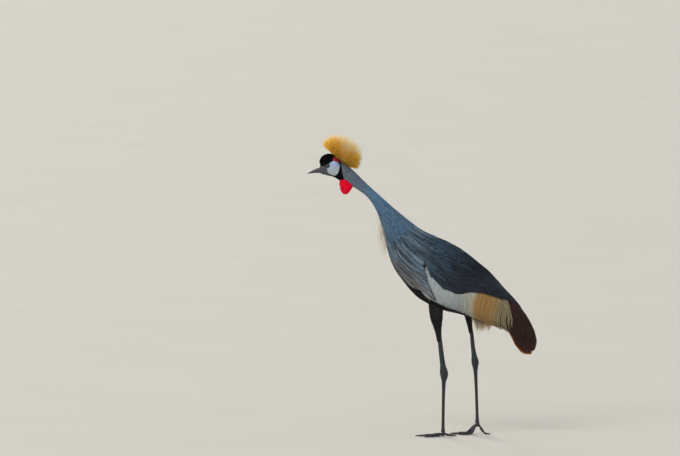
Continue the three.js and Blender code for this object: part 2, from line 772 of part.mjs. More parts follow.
function add(name, solid, colour, roughness = 0.7) {
  const made = largest(solid).getMesh();
  const g = new THREE.BufferGeometry();
  const corners = new Float32Array(made.vertProperties);
  g.setAttribute("position", new THREE.BufferAttribute(corners, 3));
  g.setIndex(new THREE.BufferAttribute(new Uint32Array(made.triVerts), 1));
  g.computeVertexNormals();
  const mesh = new THREE.Mesh(g, new THREE.MeshStandardMaterial({ color: colour, roughness }));
  mesh.name = name;
  bird.add(mesh);
}

add("head", headSolid, 0x16161a);
add("bill_upper", billHigh.subtract(union(nostrils)), 0x4a4850, 0.4);
add("bill_lower", billLow, 0x4a4850, 0.4);
add("eye_left", eyes[0], 0xb9c4cc, 0.1);
add("eye_right", eyes[1], 0xb9c4cc, 0.1);
add("wattle", wattles.subtract(fleshCutter), 0xc8102e, 0.5);
add("crest", crest().subtract(fleshCutter), 0xd9a648);
add("neck", neckSolid, 0x66798a);
add("torso", union([torsoFlesh, ...hackles(), ...wisps()]), 0x4f5a66);
add("tail", union([tailFlesh, ...tailFeathers()]), 0x17171a);
const wingCutter = union([fleshCutter, leg(LEGS.left, GAP), leg(LEGS.right, GAP)]);
add("wing_left", wing(LEFT).subtract(wingCutter), 0xc9d0cc);
add("wing_right", wing(RIGHT).subtract(wingCutter), 0xc9d0cc);

const floor = ahead(vec(0, 0, 0), UP);
for (const [name, made] of Object.entries(LEGS)) {
  const whole = leg(made).subtract(fleshCutter);
  const cut = (solid, z) => part(solid, vec(0, 0, z), vec(0, 0, -1));
  const [thigh, bare] = cut(whole, made.feathersEnd);
  const [shank, lower] = cut(bare, made.heel);
  const [tarsus, stub] = cut(lower, made.ankle);
  add(`thigh_${name}`, thigh, 0x2e3338);
  add(`shank_${name}`, shank, 0x33363a, 0.5);
  add(`tarsus_${name}`, tarsus, 0x33363a, 0.5);
  const [x] = made.path[made.path.length - 1];
  const joint = { side: made.side, point: vec(x, made.side * HIP_APART, made.ankle - 7.5) };
  const toes = union([stub, ...TOES.map((t) => toe(joint, t))]);
  const above = ahead(vec(0, 0, made.ankle - GAP / 2), UP);
  add(`foot_${name}`, toes.intersect(floor).subtract(above), 0x33363a, 0.5);
  for (const t of TOES) {
    add(`claw_${name}_${t.name}`, claw(joint, t).intersect(floor), 0x1c1b1a, 0.3);
  }
}

export default bird;
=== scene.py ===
# %% [markdown]
# # A grey crowned crane, feather by feather
# This lesson dresses a measured model of the bird: one skin, about a dozen kinds of feather, the
# bare face, the bill, the scaly legs and the fan of gold bristles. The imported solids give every
# place and size, in metres, so each new piece is made where it belongs and nothing is fitted later.

# %% The frame and the numbers that everything shares
import math

import bmesh
import bpy
import numpy as np
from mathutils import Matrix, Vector
from mathutils.kdtree import KDTree


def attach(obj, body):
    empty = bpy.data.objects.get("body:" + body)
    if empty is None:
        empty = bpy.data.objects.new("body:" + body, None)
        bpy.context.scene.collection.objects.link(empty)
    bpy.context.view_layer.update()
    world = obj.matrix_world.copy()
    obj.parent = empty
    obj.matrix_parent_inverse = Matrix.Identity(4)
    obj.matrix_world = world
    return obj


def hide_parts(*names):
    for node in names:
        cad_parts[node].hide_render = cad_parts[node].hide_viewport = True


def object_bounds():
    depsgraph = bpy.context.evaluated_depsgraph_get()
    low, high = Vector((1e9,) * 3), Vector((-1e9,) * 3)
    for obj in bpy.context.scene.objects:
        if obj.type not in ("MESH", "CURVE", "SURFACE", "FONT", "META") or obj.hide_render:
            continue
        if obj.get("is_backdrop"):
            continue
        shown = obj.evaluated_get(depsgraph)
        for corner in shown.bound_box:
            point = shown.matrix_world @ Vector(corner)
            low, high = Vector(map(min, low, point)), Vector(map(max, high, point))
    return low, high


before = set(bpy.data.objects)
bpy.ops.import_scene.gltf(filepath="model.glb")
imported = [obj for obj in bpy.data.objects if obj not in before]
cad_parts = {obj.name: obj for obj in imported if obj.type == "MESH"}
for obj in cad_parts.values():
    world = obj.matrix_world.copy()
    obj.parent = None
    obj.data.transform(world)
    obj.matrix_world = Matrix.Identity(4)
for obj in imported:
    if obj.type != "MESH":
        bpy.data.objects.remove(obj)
cad_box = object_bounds()
rng = np.random.default_rng(20417)
MM = 0.001
LEFT, RIGHT = -1.0, 1.0
SIDES = {"left": LEFT, "right": RIGHT}
print("solids:", len(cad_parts), "box:", [round(x, 3) for c in cad_box for x in c])

# %% [markdown]
# ## The lines of the body
# A bird is easiest to draw from its side: a line along its back, one along its belly, and a width.
# Each row of the table is one station down the body from the nape to the tip of the plumes. The
# last three numbers say how deep the plumage lies over the flesh. The trunk could be sculpted, but
# only a table lets every feather ask where it has to lie.

# %% The stations of the body
STATIONS = np.array([  # top x z, bottom x z, half width, coat above, below and beside, all mm
    (-268, 952, -290, 903, 20, 1, 1, 1),
    (-240, 928, -262, 886, 17.5, 1, 1, 1),
    (-205, 893, -230, 866, 15.5, 1, 1, 1),
    (-172, 862, -195, 840, 15.5, 1, 1, 1),
    (-137, 831, -167, 801, 20, 2, 3, 2),
    (-98, 796, -148, 755, 30, 4, 6, 5),
    (-60, 765, -136, 706, 44, 6, 9, 8),
    (-21, 735, -122, 650, 60, 8, 12, 11),
    (25, 708, -100, 588, 76, 10, 11, 14),
    (80, 686, -55, 525, 90, 13, 7, 18),
    (138, 654, -12, 483, 98, 17, 4, 23),
    (190, 614, 58, 446, 99, 24, 3, 28),
    (240, 571, 131, 427, 94, 30, 5, 33),
    (287, 518, 200, 401, 84, 36, 14, 39),
    (328, 472, 249, 382, 68, 39, 26, 41),
    (366, 422, 301, 360, 50, 36, 34, 35),
    (392, 372, 324, 320, 35, 36, 36, 28),
    (401, 335, 350, 290, 24, 30, 30, 20),
    (398, 303, 378, 285, 12, 11, 11, 10),
], float)
LAST = len(STATIONS) - 1
print("stations:", LAST + 1)

# %% [markdown]
# ## Between the rows
# The table holds a few places and the bird is smooth between them. Straight lines would leave
# corners on the breast, so a curve that bends gently through every row is read instead. The other
# helpers make a soft border, mix two values and give an arrow the length of one.

# %% Curves, soft borders and arrows
def through(rows, at):
    """Rows of numbers read anywhere along a smooth curve through them; at counts rows from 0."""
    at = np.clip(np.asarray(at, float), 0, len(rows) - 1)
    i = np.minimum(at.astype(int), len(rows) - 2)
    t = (at - i)[..., None]
    far = np.vstack([2 * rows[0] - rows[1], rows, 2 * rows[-1] - rows[-2]])
    a, b, c, d = far[i], far[i + 1], far[i + 2], far[i + 3]
    curve = 2 * b + (c - a) * t + (2 * a - 5 * b + 4 * c - d) * t**2
    return 0.5 * (curve + (3 * b - a - 3 * c + d) * t**3)


def smooth(low, high, x):
    """0 below low, 1 above high, and an even slope between them."""
    t = np.clip((np.asarray(x, float) - low) / (high - low), 0, 1)
    return t * t * (3 - 2 * t)


def mix(a, b, t):
    return a + (b - a) * t


def unit(v):
    return v / np.maximum(np.linalg.norm(v, axis=-1, keepdims=True), 1e-9)


print("between two stations:", through(STATIONS, 8.5).round(1))

# %% [markdown]
# ## A place on the body
# A station and an angle from the back name every place on the bird, as on a map. A depth of 0 lies
# on the outside of the plumage and 1 on the flesh below it, so a feather can start deep and end on
# top. Below the folded wing the section is squarer than an egg, because the wing hangs flat.

# %% From station and angle to a point
WING_STARTS = (8.5, 10.5)  # stations over which the wing squares the section


def on_body(depth, station, degrees, side, lift=0.0):
    """Points in mm, lifted off the body if asked, and the way out of it."""
    depth, station, degrees, side, lift = np.broadcast_arrays(
        *[np.asarray(x, float) for x in (depth, station, degrees, side, lift)]
    )
    line = through(STATIONS, station)
    top, bottom, coat = line[..., 0:2], line[..., 2:4], line[..., 5:8] * depth[..., None]
    up = top - bottom
    half = np.linalg.norm(up, axis=-1) / 2
    up = unit(up)
    cos, sin = np.cos(np.radians(degrees)), np.sin(np.radians(degrees))
    fold = (1 - np.clip(depth, 0, 1)) * smooth(*WING_STARTS, station)
    square = np.where(cos < 0, 2 + fold, 2.0)
    c = np.sign(cos) * np.abs(cos) ** (2 / square)
    s = np.sign(sin) * np.abs(sin) ** (2 / square)
    high = np.maximum(half - np.where(cos > 0, coat[..., 0], coat[..., 1]), 1)
    wide = np.maximum(line[..., 4] - coat[..., 2], 1)
    rise = np.sign(c) * np.abs(c) ** (square - 1) / high
    across = side * np.sign(s) * np.abs(s) ** (square - 1) / wide
    out = unit(np.stack([up[..., 0] * rise, across, up[..., 1] * rise], -1))
    middle = (top + bottom) / 2
    x = middle[..., 0] + up[..., 0] * high * c
    z = middle[..., 1] + up[..., 1] * high * c
    return np.stack([x, side * wide * s, z], -1) + out * lift[..., None], out


print("plumage at the breast:", on_body(0, 9, 90, LEFT)[0].round(1))

# %% [markdown]
# ## Colours and nodes
# Colours are picked as they look on a screen, and one function turns them to the linear light that
# Blender mixes. One more adds a node with its settings and its links, which keeps every recipe
# below down to a few readable lines. Patterns are given in mm, as one would measure them.

# %% Colour, node and recipe
def colour(code):
    """A #rrggbb screen colour as linear red, green, blue and full alpha."""
    parts = [int(code[i : i + 2], 16) / 255 for i in (1, 3, 5)]
    return [p / 12.92 if p <= 0.04045 else ((p + 0.055) / 1.055) ** 2.4 for p in parts] + [1.0]


def feed(tree, made, inputs):
    """Gives a node's inputs their values, or links them to the sockets that feed them."""
    for key, value in inputs.items():
        if isinstance(value, bpy.types.NodeSocket):
            tree.links.new(value, made.inputs[key])
        else:
            made.inputs[key].default_value = value


def node(tree, kind, inputs=(), out=0, **settings):
    """One more node with its settings and links; it gives back the output asked for."""
    made = tree.nodes.new(kind)
    for name, value in settings.items():
        setattr(made, name, value)
    feed(tree, made, dict(inputs))
    return made.outputs[out]


def recipe(name, **surface):
    """A new material with its shader; surface holds what is the same all over it."""
    material = bpy.data.materials.new(name)
    material.use_nodes = True
    shader = material.node_tree.nodes["Principled BSDF"]
    feed(material.node_tree, shader, {k.replace("_", " "): v for k, v in surface.items()})
    return material, material.node_tree, shader


def per_metre(mm):
    """The scale of a pattern whose grains are so many mm apart."""
    return 1 / (mm * MM)


COLOUR_MIX = {"out": 2, "data_type": "RGBA"}  # a mix node for colours: inputs 0, 6 and 7
print("mid grey:", round(colour("#808080")[0], 3))

# %% [markdown]
# ## What a feather is made of
# Keratin barbs stand in rows on both sides of a shaft and hook into one sheet, the vane. Real barbs
# are 0.3 mm apart, too fine to show, so they are drawn coarser, 1 to 2 mm apart. A picture of a
# feather would do, but a pattern stays sharp close up. Each feather carries its own random tint, a
# zone that says which livery it wears, and a small map: across the vane and from root to tip.

# %% The recipe for plumage
def plumage(name, first, *others, borders=((0, 1),), streak=9.0, slant=0.0, contrast=1.0,
            root=0.55, **surface):
    """Feather material. A livery is a dark and a pale colour, and each other one takes over at its
    border of the zone. Streaks run along the vane, or slant away from the shaft."""
    # Keratin is matt, with a faint gloss: the eye sees soft cloth, never a wet or metal glint.
    surface = {"Roughness": 0.6, "Specular_IOR_Level": 0.3, **surface}
    material, tree, shader = recipe(name, **surface)
    tint = node(tree, "ShaderNodeAttribute", out="Fac", attribute_name="tint")
    zone = node(tree, "ShaderNodeAttribute", out="Fac", attribute_name="zone")
    across = node(tree, "ShaderNodeSeparateXYZ", {0: node(tree, "ShaderNodeUVMap", uv_map="vane")})
    along = across.node.outputs[1]
    off = node(tree, "ShaderNodeMath", {0: across, 1: 0.5}, operation="SUBTRACT")
    off = node(tree, "ShaderNodeMath", {0: off}, operation="ABSOLUTE")
    lean = node(tree, "ShaderNodeMath", {0: off, 1: -slant, 2: along}, operation="MULTIPLY_ADD")
    place = node(tree, "ShaderNodeCombineXYZ", {0: across, 1: lean, 2: tint})
    stretch = (streak, 2 + 30 * slant, 60)
    place = node(tree, "ShaderNodeVectorMath", {0: place, 1: stretch}, operation="MULTIPLY")
    barbs = node(tree, "ShaderNodeTexNoise", {"Vector": place, "Scale": 1.0, "Detail": 3.0})
    shade = node(tree, "ShaderNodeMath", {0: tint, 1: 0.75 * contrast, 2: 0.5 - 0.82 * contrast},
                 operation="MULTIPLY_ADD")
    shade = node(tree, "ShaderNodeMath", {0: barbs, 1: 0.9 * contrast, 2: shade},
                 operation="MULTIPLY_ADD", use_clamp=True)
    dark, pale = map(colour, first)
    near = node(tree, "ShaderNodeMix", {0: shade, 6: dark, 7: pale}, **COLOUR_MIX)
    for (dark, pale), (starts, ends) in zip(others, borders):
        both = {0: shade, 6: colour(dark), 7: colour(pale)}
        livery = node(tree, "ShaderNodeMix", both, **COLOUR_MIX)
        share = node(tree, "ShaderNodeMapRange", {0: zone, 1: starts, 2: ends})
        near = node(tree, "ShaderNodeMix", {0: share, 6: near, 7: livery}, **COLOUR_MIX)
    # Roots lie in the shade of the row above, which a renderer can't find between touching sheets.
    depth = node(tree, "ShaderNodeMapRange", {0: along, 1: 0.0, 2: 0.45, 3: root, 4: 1.0})
    base = node(tree, "ShaderNodeVectorMath", {0: near, 3: depth}, operation="SCALE")
    bump = node(tree, "ShaderNodeBump", {"Strength": 0.35, "Distance": 0.6 * MM, "Height": barbs})
    feed(tree, shader, {"Base Color": base, "Normal": bump})
    return material


def see_through(red, green, blue, weight):
    """Light that wanders inside a thin thing and comes out again: how far, in mm, by colour."""
    return {"Subsurface_Weight": weight, "Subsurface_Radius": (red * MM, green * MM, blue * MM),
            "Subsurface_Scale": 1.0}


print("plumage is matt and streaked; liveries meet at the borders of the zone")

# %% [markdown]
# ## Settling a piece
# Each piece rides on one still empty, and the solids that it stands for are hidden. Values that
# differ from point to point, such as a tint, are kept on the mesh. Vertex groups could hold them as
# well, but attributes survive the way out of Blender.

# %% Settling a piece and keeping values on it
def settle(piece, slot, *nodes):
    """It rides on the bird, and may stand for solids; the slot for its finish is not used."""
    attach(piece, "root")
    if nodes:
        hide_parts(*nodes)


def keep_on(mesh, name, values, kind="FLOAT", field="value"):
    """Keeps a number or a colour for every point of a mesh, for its material to read."""
    values = np.asarray(values, np.float32).ravel()
    mesh.attributes.new(name, kind, "POINT").data.foreach_set(field, values)


def linked(name, mesh, *materials):
    """An object made of a mesh, put in the scene."""
    piece = bpy.data.objects.new(name, mesh)
    bpy.context.scene.collection.objects.link(piece)
    for material in materials:
        mesh.materials.append(material)
    return piece


print("every piece rides on one still body")

# %% [markdown]
# ## Thousands of feathers as one mesh
# Hair curves and copies are lost when a model leaves Blender, so every feather here is a real,
# thin, closed shape. Modelling one and copying it would be quick, but none would follow the body.
# Arrays build all feathers of a kind at once instead, and the sign of their volume tells whether
# the faces look outwards.

# %% One mesh of many alike shapes
def signed_volume(points, faces):
    total = 0.0
    for f in faces:
        a, b, c = points[:, f[:, 0]], points[:, f[:, 1]], points[:, f[:, 2]]
        centre = points.mean(axis=1, keepdims=True)
        total += np.einsum("nij,nij->", a - centre, np.cross(b - centre, c - centre))
    return total


def mesh_of_many(name, points, faces):
    """A mesh of n alike shapes; faces are index arrays into one shape's own points."""
    n, per = points.shape[:2]
    mesh = bpy.data.meshes.new(name)
    if signed_volume(points[: min(n, 50)], faces) < 0:
        faces = [f[:, ::-1] for f in faces]
    offset = np.arange(n)[:, None, None] * per
    loops = np.concatenate([(f[None] + offset).reshape(n, -1) for f in faces], 1).ravel()
    sizes = np.tile(np.concatenate([np.full(len(f), f.shape[1]) for f in faces]), n)
    starts = np.concatenate([[0], np.cumsum(sizes)[:-1]])
    for owner, count, values in (
        (mesh.vertices, n * per, {"co": points.astype(np.float32)}),
        (mesh.loops, len(loops), {"vertex_index": loops.astype(np.int32)}),
        (mesh.polygons, len(sizes), {"loop_start": starts.astype(np.int32),
                                     "loop_total": sizes.astype(np.int32),
                                     "use_smooth": np.ones(len(sizes), bool)}),
    ):
        owner.add(count)
        for field, data in values.items():
            owner.foreach_set(field, data.ravel())
    mesh.update(calc_edges=True)
    return mesh


print("meshes so far:", len(bpy.data.meshes))

# %% [markdown]
# ## Clothing a line
# A feather is a few rings of points along a curved line, drawn to a point. A narrow lock of barbs
# needs only three points to a ring, flat below and ridged above; a broad vane needs six. The line
# comes from the body's own curve, so this one function can make velvet, hackles and plumes alike.

# %% One function that makes any number of feathers
LOCK = [(-1, 0), (0, 1), (1, 0)]
VANE = [(-1, -0.1), (-0.5, 0.55), (0, 1), (0.5, 0.55), (1, -0.1), (0, -0.7)]
PATCH = 0.003  # how much of the bake map one feather takes
coat = {}


def outline_of(u, tip):
    """How wide a feather is on its way from root to tip: a small tip value ends bluntly."""
    return np.minimum(1, 0.45 + 2.2 * u) * (1 - u) ** tip


def feather_faces(steps, k):
    """Four-sided faces round the rings, triangles at the tip, and a lid on the root."""
    here = np.arange(k)
    after = (here + 1) % k
    quads = [np.stack([i * k + here, i * k + after, (i + 1) * k + after, (i + 1) * k + here], 1)
             for i in range(steps - 1)]
    tips = np.stack([(steps - 1) * k + here, (steps - 1) * k + after, np.full(k, steps * k)], 1)
    return [np.concatenate(quads), tips, here[None, ::-1]]


def feathers(name, material, line, out, wide, thick, root_at, section=LOCK, tip=0.5, tint=None,
             zone=0.0, cup=0.0, roll=0.0, ragged=0.0, slot="body_grey", replaces=()):
    """Clothes lines of points, feathers x rings x 3 in mm; wide and thick are half sizes in mm."""
    n, rings = line.shape[:2]
    steps, k = rings - 1, len(section)
    u = np.linspace(0, 1, rings)

    def each(value):
        return np.broadcast_to(np.asarray(value, float), (n,))

    along = unit(np.gradient(line, axis=1))
    side = unit(np.cross(out, along))
    up = unit(np.cross(along, side))
    roll = each(roll)[:, None, None]
    side, up = side * np.cos(roll) + up * np.sin(roll), up * np.cos(roll) - side * np.sin(roll)
    w = each(wide)[:, None] * outline_of(u, tip)[None] * (1 - ragged * rng.random((n, rings)))
    t = each(thick)[:, None] * (1 - 0.5 * u)[None]
    x, y = np.array(section, float).T
    reach = w[:, :-1, None, None] * side[:, :-1, None, :] * x[None, None, :, None]
    rise = (t[:, :-1, None] * y - cup * w[:, :-1, None] * x**2)[..., None] * up[:, :-1, None, :]
    rings_of = line[:, :-1, None, :] + reach + rise
    points = np.concatenate([rings_of.reshape(n, steps * k, 3), line[:, -1:, :]], 1)
    faces = feather_faces(steps, k)
    mesh = mesh_of_many(name, points * MM, faces)
    per = points.shape[1]
    keep_on(mesh, "tint", np.repeat(each(rng.random(n) if tint is None else tint), per))
    keep_on(mesh, "zone", np.repeat(each(zone), per))
    across = np.append(np.tile(x * 0.5 + 0.5, steps), 0.5)
    height = np.append(np.repeat(u[:-1], k), 1.0)
    corners = np.zeros(len(mesh.loops), np.int32)
    mesh.loops.foreach_get("vertex_index", corners)
    own = np.stack([across, height], 1)[corners % per]
    patch = np.asarray(root_at, float)[corners // per] + (own - 0.5) * PATCH
    for layer, places in (("vane", own), ("OFBake", patch)):
        mesh.uv_layers.new(name=layer).data.foreach_set("uv", places.astype(np.float32).ravel())
    piece = linked(name, mesh, material)
    settle(piece, slot, *replaces)
    coat[name] = sum((f.shape[1] - 2) * len(f) for f in faces) * n
    print(f"{name}: {n} feathers, {coat[name]} triangles")
    return piece


print("faces of a plain lock:", sum(len(f) for f in feather_faces(3, len(LOCK))))

# %% [markdown]
# ## Spreading the roots
# Feathers grow in even rows over the skin. Two counters that step by awkward fractions fill any
# patch evenly without a grid showing, which plain chance doesn't. The share of roots at a station
# follows how much skin is there, so that the thick breast gets more than the thin neck.

# %% Even roots over a patch of the body
STEPS = (0.7548776662, 0.5698402910)


def spread(count, stations, degrees):
    """Roots as station, angle and side, over both flanks."""
    i = np.arange(count)
    a, b = ((0.5 + i * step) % 1 for step in STEPS)
    s = np.linspace(*stations, 60)
    line = through(STATIONS, s)
    girth = np.linalg.norm(line[:, 0:2] - line[:, 2:4], axis=1) / 2 + line[:, 4]
    middle = (line[:, 0:2] + line[:, 2:4]) / 2
    step = np.append(0, np.linalg.norm(np.diff(middle, axis=0), axis=1))
    share = np.cumsum(girth * step)
    station = np.interp(a * share[-1], share, s)
    return station, mix(degrees[0], degrees[1], b), np.where(i % 2 == 0, LEFT, RIGHT)


def unwrap(station, degrees, side):
    """A root's place on the skin unrolled: down the body, and round it from the back."""
    return np.stack([station / LAST * 0.98 + 0.01, 0.5 + side * degrees / 180 * 0.48], -1)


def jitter(count, amount):
    return rng.uniform(-amount, amount, count)


print("even roots:", np.round(spread(3, (5, 8), (0, 180))[0], 2))

# %% [markdown]
# ## Lines that follow the body
# A feather lies along the body with its root under the others and its tip on top. Its line is read
# off the body map step by step, so it bends with the breast and the back. Neighbours in one lane
# may share a tint, because hackles stick together in locks and the eye sees streaks, not dots.

# %% Lines along the body, and lanes of feathers
def lines_on_body(root, long, degrees, side, steps, depth=(1.0, 0.0), lift=(0.0, 0.0), end=None,
                  turn=None, surfacing=1.0):
    """end is the angle at the tip, turn changes the angle by station, and a surfacing above 1
    brings the line to the top of the coat sooner."""
    u = np.linspace(0, 1, steps + 1)[None]
    rise = 1 - (1 - u) ** surfacing

    def each(value):
        return np.broadcast_to(np.asarray(value, float), root.shape)[:, None]

    station = each(root) + each(long) * u
    angle = mix(each(degrees), each(degrees if end is None else end), u)
    if turn is not None:
        angle = turn(station, angle)
    deep, high = (mix(each(first), each(last), rise) for first, last in (depth, lift))
    return on_body(deep, station, angle, each(side), high)


LANES = (200, 40)  # across and along


def lanes(station, degrees, wide, long):
    """A number that neighbours in one lane share, so that a lock reads as one streak."""
    lane = np.floor((degrees + 3 * np.sin(1.7 * station)) / wide).astype(int)
    return rng.random(LANES)[lane, np.floor(station / long + 0.37 * lane).astype(int) % LANES[1]]


print("a line down the back:", lines_on_body(np.array([8.0]), 1, 0, LEFT, 3)[0][0, :, 2].round(1))

# %% [markdown]
# ## The skin
# Under the plumage lies one skin from the root of the bill to the toes. Head and legs need fine
# detail and the trunk doesn't, so they are made as overlapping tubes and balls, melted together by
# a voxel remesh at their own fineness, and then joined to the trunk by one union, so that no seam
# shows. Sculpting would do as well, but a remesh gives the same result on every run.

# %% Tubes, balls and one object of many parts
def corners(bm):
    return np.array([v.co for v in bm.verts])


def moved(bm, points):
    """Puts a bmesh's corners at points in mm, and closes and turns it outwards."""
    for v, p in zip(bm.verts, points * MM):
        v.co = p
    bmesh.ops.remove_doubles(bm, verts=bm.verts, dist=1e-6)
    bmesh.ops.recalc_face_normals(bm, faces=bm.faces)
    return bm


def tube(rings, sides, place):
    """A closed tube: place turns a share of its length and an angle into points in mm."""
    bm = bmesh.new()
    bmesh.ops.create_cone(bm, cap_ends=True, segments=sides, radius1=1, radius2=1, depth=1)
    lengthwise = [e for e in bm.edges if abs(e.verts[0].co.z - e.verts[1].co.z) > 0.5]
    bmesh.ops.subdivide_edges(bm, edges=lengthwise, cuts=rings - 1, use_grid_fill=True)
    co = corners(bm)
    return moved(bm, place(np.clip(co[:, 2] + 0.5, 0, 1), np.arctan2(co[:, 1], co[:, 0])))


def ball(radii, centre, pitch=0.0):
    bm = bmesh.new()
    bmesh.ops.create_uvsphere(bm, u_segments=32, v_segments=20, radius=1)
    co = corners(bm) * radii
    c, s = math.cos(pitch), math.sin(pitch)
    return moved(bm, co @ [[c, 0, -s], [0, 1, 0], [s, 0, c]] + centre)


def piece_of(name, parts, *materials, soft=True):
    """One object from any number of bmeshes."""
    mesh = bpy.data.meshes.new(name)
    whole = bmesh.new()
    for bm in parts:
        bm.to_mesh(mesh)
        whole.from_mesh(mesh)
        bm.free()
    for f in whole.faces:
        f.smooth = soft
    whole.to_mesh(mesh)
    whole.free()
    return linked(name, mesh, *materials)


print("a ball has", len(ball((1, 1, 1), (0, 0, 0)).faces), "faces")

# %% [markdown]
# ## Melting parts together
# Where a leg meets its toes the real skin runs on without a seam. A union keeps a hard crease
# there; a voxel remesh wraps all parts in one even net instead, and a few rounds of smoothing ease
# the steps of the net. The modifier is run at once, so that later cells can move the result.

# %% Remesh and smooth
def with_modifier(piece, kind, **settings):
    """Runs one modifier on a piece and keeps its result."""
    modifier = piece.modifiers.new(kind.title(), kind)
    for key, value in settings.items():
        setattr(modifier, key, value)
    graph = bpy.context.evaluated_depsgraph_get()
    old, piece.data = piece.data, bpy.data.meshes.new_from_object(piece.evaluated_get(graph))
    piece.modifiers.clear()
    bpy.data.meshes.remove(old)
    return piece


def melted(name, parts, voxel, rounds):
    """Closed parts melted into one surface, with so many mm to a voxel."""
    piece = with_modifier(piece_of(name, parts), "REMESH", mode="VOXEL", voxel_size=voxel * MM,
                          use_smooth_shade=True)
    bm = bmesh.new()
    bm.from_mesh(piece.data)
    axes = {f"use_axis_{a}": True for a in "xyz"}
    for _ in range(rounds):
        bmesh.ops.smooth_vert(bm, verts=bm.verts, factor=0.5, **axes)
    bm.to_mesh(piece.data)
    bm.free()
    return piece


def corners_of(piece):
    """The corners of a finished piece in mm."""
    co = np.zeros(len(piece.data.vertices) * 3, np.float32)
    piece.data.vertices.foreach_get("co", co)
    return co.reshape(-1, 3).astype(float) / MM


def move_corners(piece, co):
    piece.data.vertices.foreach_set("co", (co * MM).astype(np.float32).ravel())


print("parts are melted at about one mm")

# %% [markdown]
# ## The head
# The skull is an egg with a high forehead, and the bill, the cushion and the rims of the lids stand
# on it. A real eye shows less than half its ball, so the rims are made as their own round beads.
# One drawn tube could be the whole head, but parts that melt together are easier to move.

# %% The skull and the lids
HEAD = np.array([  # top x z, bottom x z, half width
    (-361, 942, -361, 925, 6),
    (-352, 961, -353, 918.5, 12.5),
    (-341, 978, -343, 915.5, 18),
    (-329, 986, -331, 913.5, 21.8),
    (-316, 987, -318, 910.5, 23.6),
    (-300, 979, -304, 905, 23),
    (-284, 965, -295, 899, 20.6),
    (-262, 945, -281, 893, 18),
    (-240, 927, -262, 887, 16.8),
    (-205, 892, -230, 867, 14.8),
    (-190, 877, -216, 856, 14.6),
], float)
EYE = np.array([-332.0, 17.6, 948.0])
EYE_RADIUS = 7.6
LID = {"bead": 1.7, "ring": 6.1, "tilt": 0.22, "out": 3.9}  # mm, and the tilt in radians


def head_place(share, angle):
    line = through(HEAD, share * (len(HEAD) - 1))
    front = np.sqrt(np.clip(1 - ((0.04 - share) / 0.04).clip(0, 1) ** 2, 0, 1))
    close = front * np.sqrt(np.clip((1 - share) / 0.02, 0, 1))
    half = (line[:, 0:2] - line[:, 2:4]) / 2 * close[:, None]
    middle = (line[:, 0:2] + line[:, 2:4]) / 2
    c, s = np.cos(angle), np.sin(angle)
    jaw = 1 - 0.16 * (c < 0) * np.abs(c) ** 1.5
    flat = middle + half * c[:, None]
    return np.stack([flat[:, 0], line[:, 4] * s * close * jaw, flat[:, 1]], 1)


def lid_rim(side):
    """A small round bead spun about the eye and drawn out fore and aft."""
    bm = bmesh.new()
    bmesh.ops.create_circle(bm, segments=12, radius=LID["bead"])
    for v in bm.verts:
        v.co = (v.co.x + LID["ring"], 0, v.co.y)
    bmesh.ops.spin(bm, geom=bm.edges[:], cent=(0, 0, 0), axis=(0, 0, 1), angle=2 * math.pi,
                   steps=40, use_merge=True)
    x, y, z = corners(bm).T
    corner = 1 + 0.2 * np.abs(x) / (LID["ring"] + LID["bead"])
    across, high = x * 1.04 * corner, y * 0.86 * corner
    deep = side * (z - 0.05 * x**2 / 6) * corner
    c, s = math.cos(LID["tilt"]), math.sin(LID["tilt"])
    turned = np.stack([across * c - high * s, deep, across * s + high * c], 1)
    return moved(bm, turned + [EYE[0] - 0.4, side * (EYE[1] + LID["out"]), EYE[2]])


print("the eye is", EYE_RADIUS * 2, "mm across")

# %% [markdown]
# ## Cushion, gape and brow
# On the forehead of this bird the feathers stand on a raised cushion. The mouth runs back into a
# shallow crease, and a faint brow shades the eye. Crease and brow are only a millimetre deep, so
# they are pressed into the finished net, where a part of their own would melt away.

# %% The head, melted
CAP = {"radii": (29.5, 18.5, 23.5), "centre": (-331, 0, 964), "pitch": -0.35}
SNOUT = {"radii": (13, 8.6, 9.5), "centre": (-349, 0, 933)}
GAPE_DEEP, BROW_OUT = 1.3, 1.1

head_parts = [tube(70, 48, head_place), ball(**CAP), ball(**SNOUT), lid_rim(LEFT), lid_rim(RIGHT)]
head = melted("head_skin", head_parts, 1.15, 5)
co = corners_of(head)
mouth = np.exp(-((co[:, 2] - (926.5 + 0.12 * (co[:, 0] + 345))) / 1.3) ** 2)
gape = mouth * smooth(-331, -336, co[:, 0])
brow = np.exp(-((co[:, 0] + 331) / 10) ** 2 - ((co[:, 2] - 957.5) / 2.6) ** 2)
flank = np.sign(co[:, 1]) * smooth(4, 9, np.abs(co[:, 1]))
co[:, 1] += flank * (BROW_OUT * brow - GAPE_DEEP * gape)
move_corners(head, co)
print("head:", len(head.data.polygons), "faces")

# %% [markdown]
# ## Legs
# A crane walks on its toes: what looks like a backward knee is its heel. Each leg is one tube whose
# rings come from a side drawing, with the swollen heel joint. Bones and a skin over them would bend
# by themselves, but this bird stands still, and a drawing follows the photo more closely.

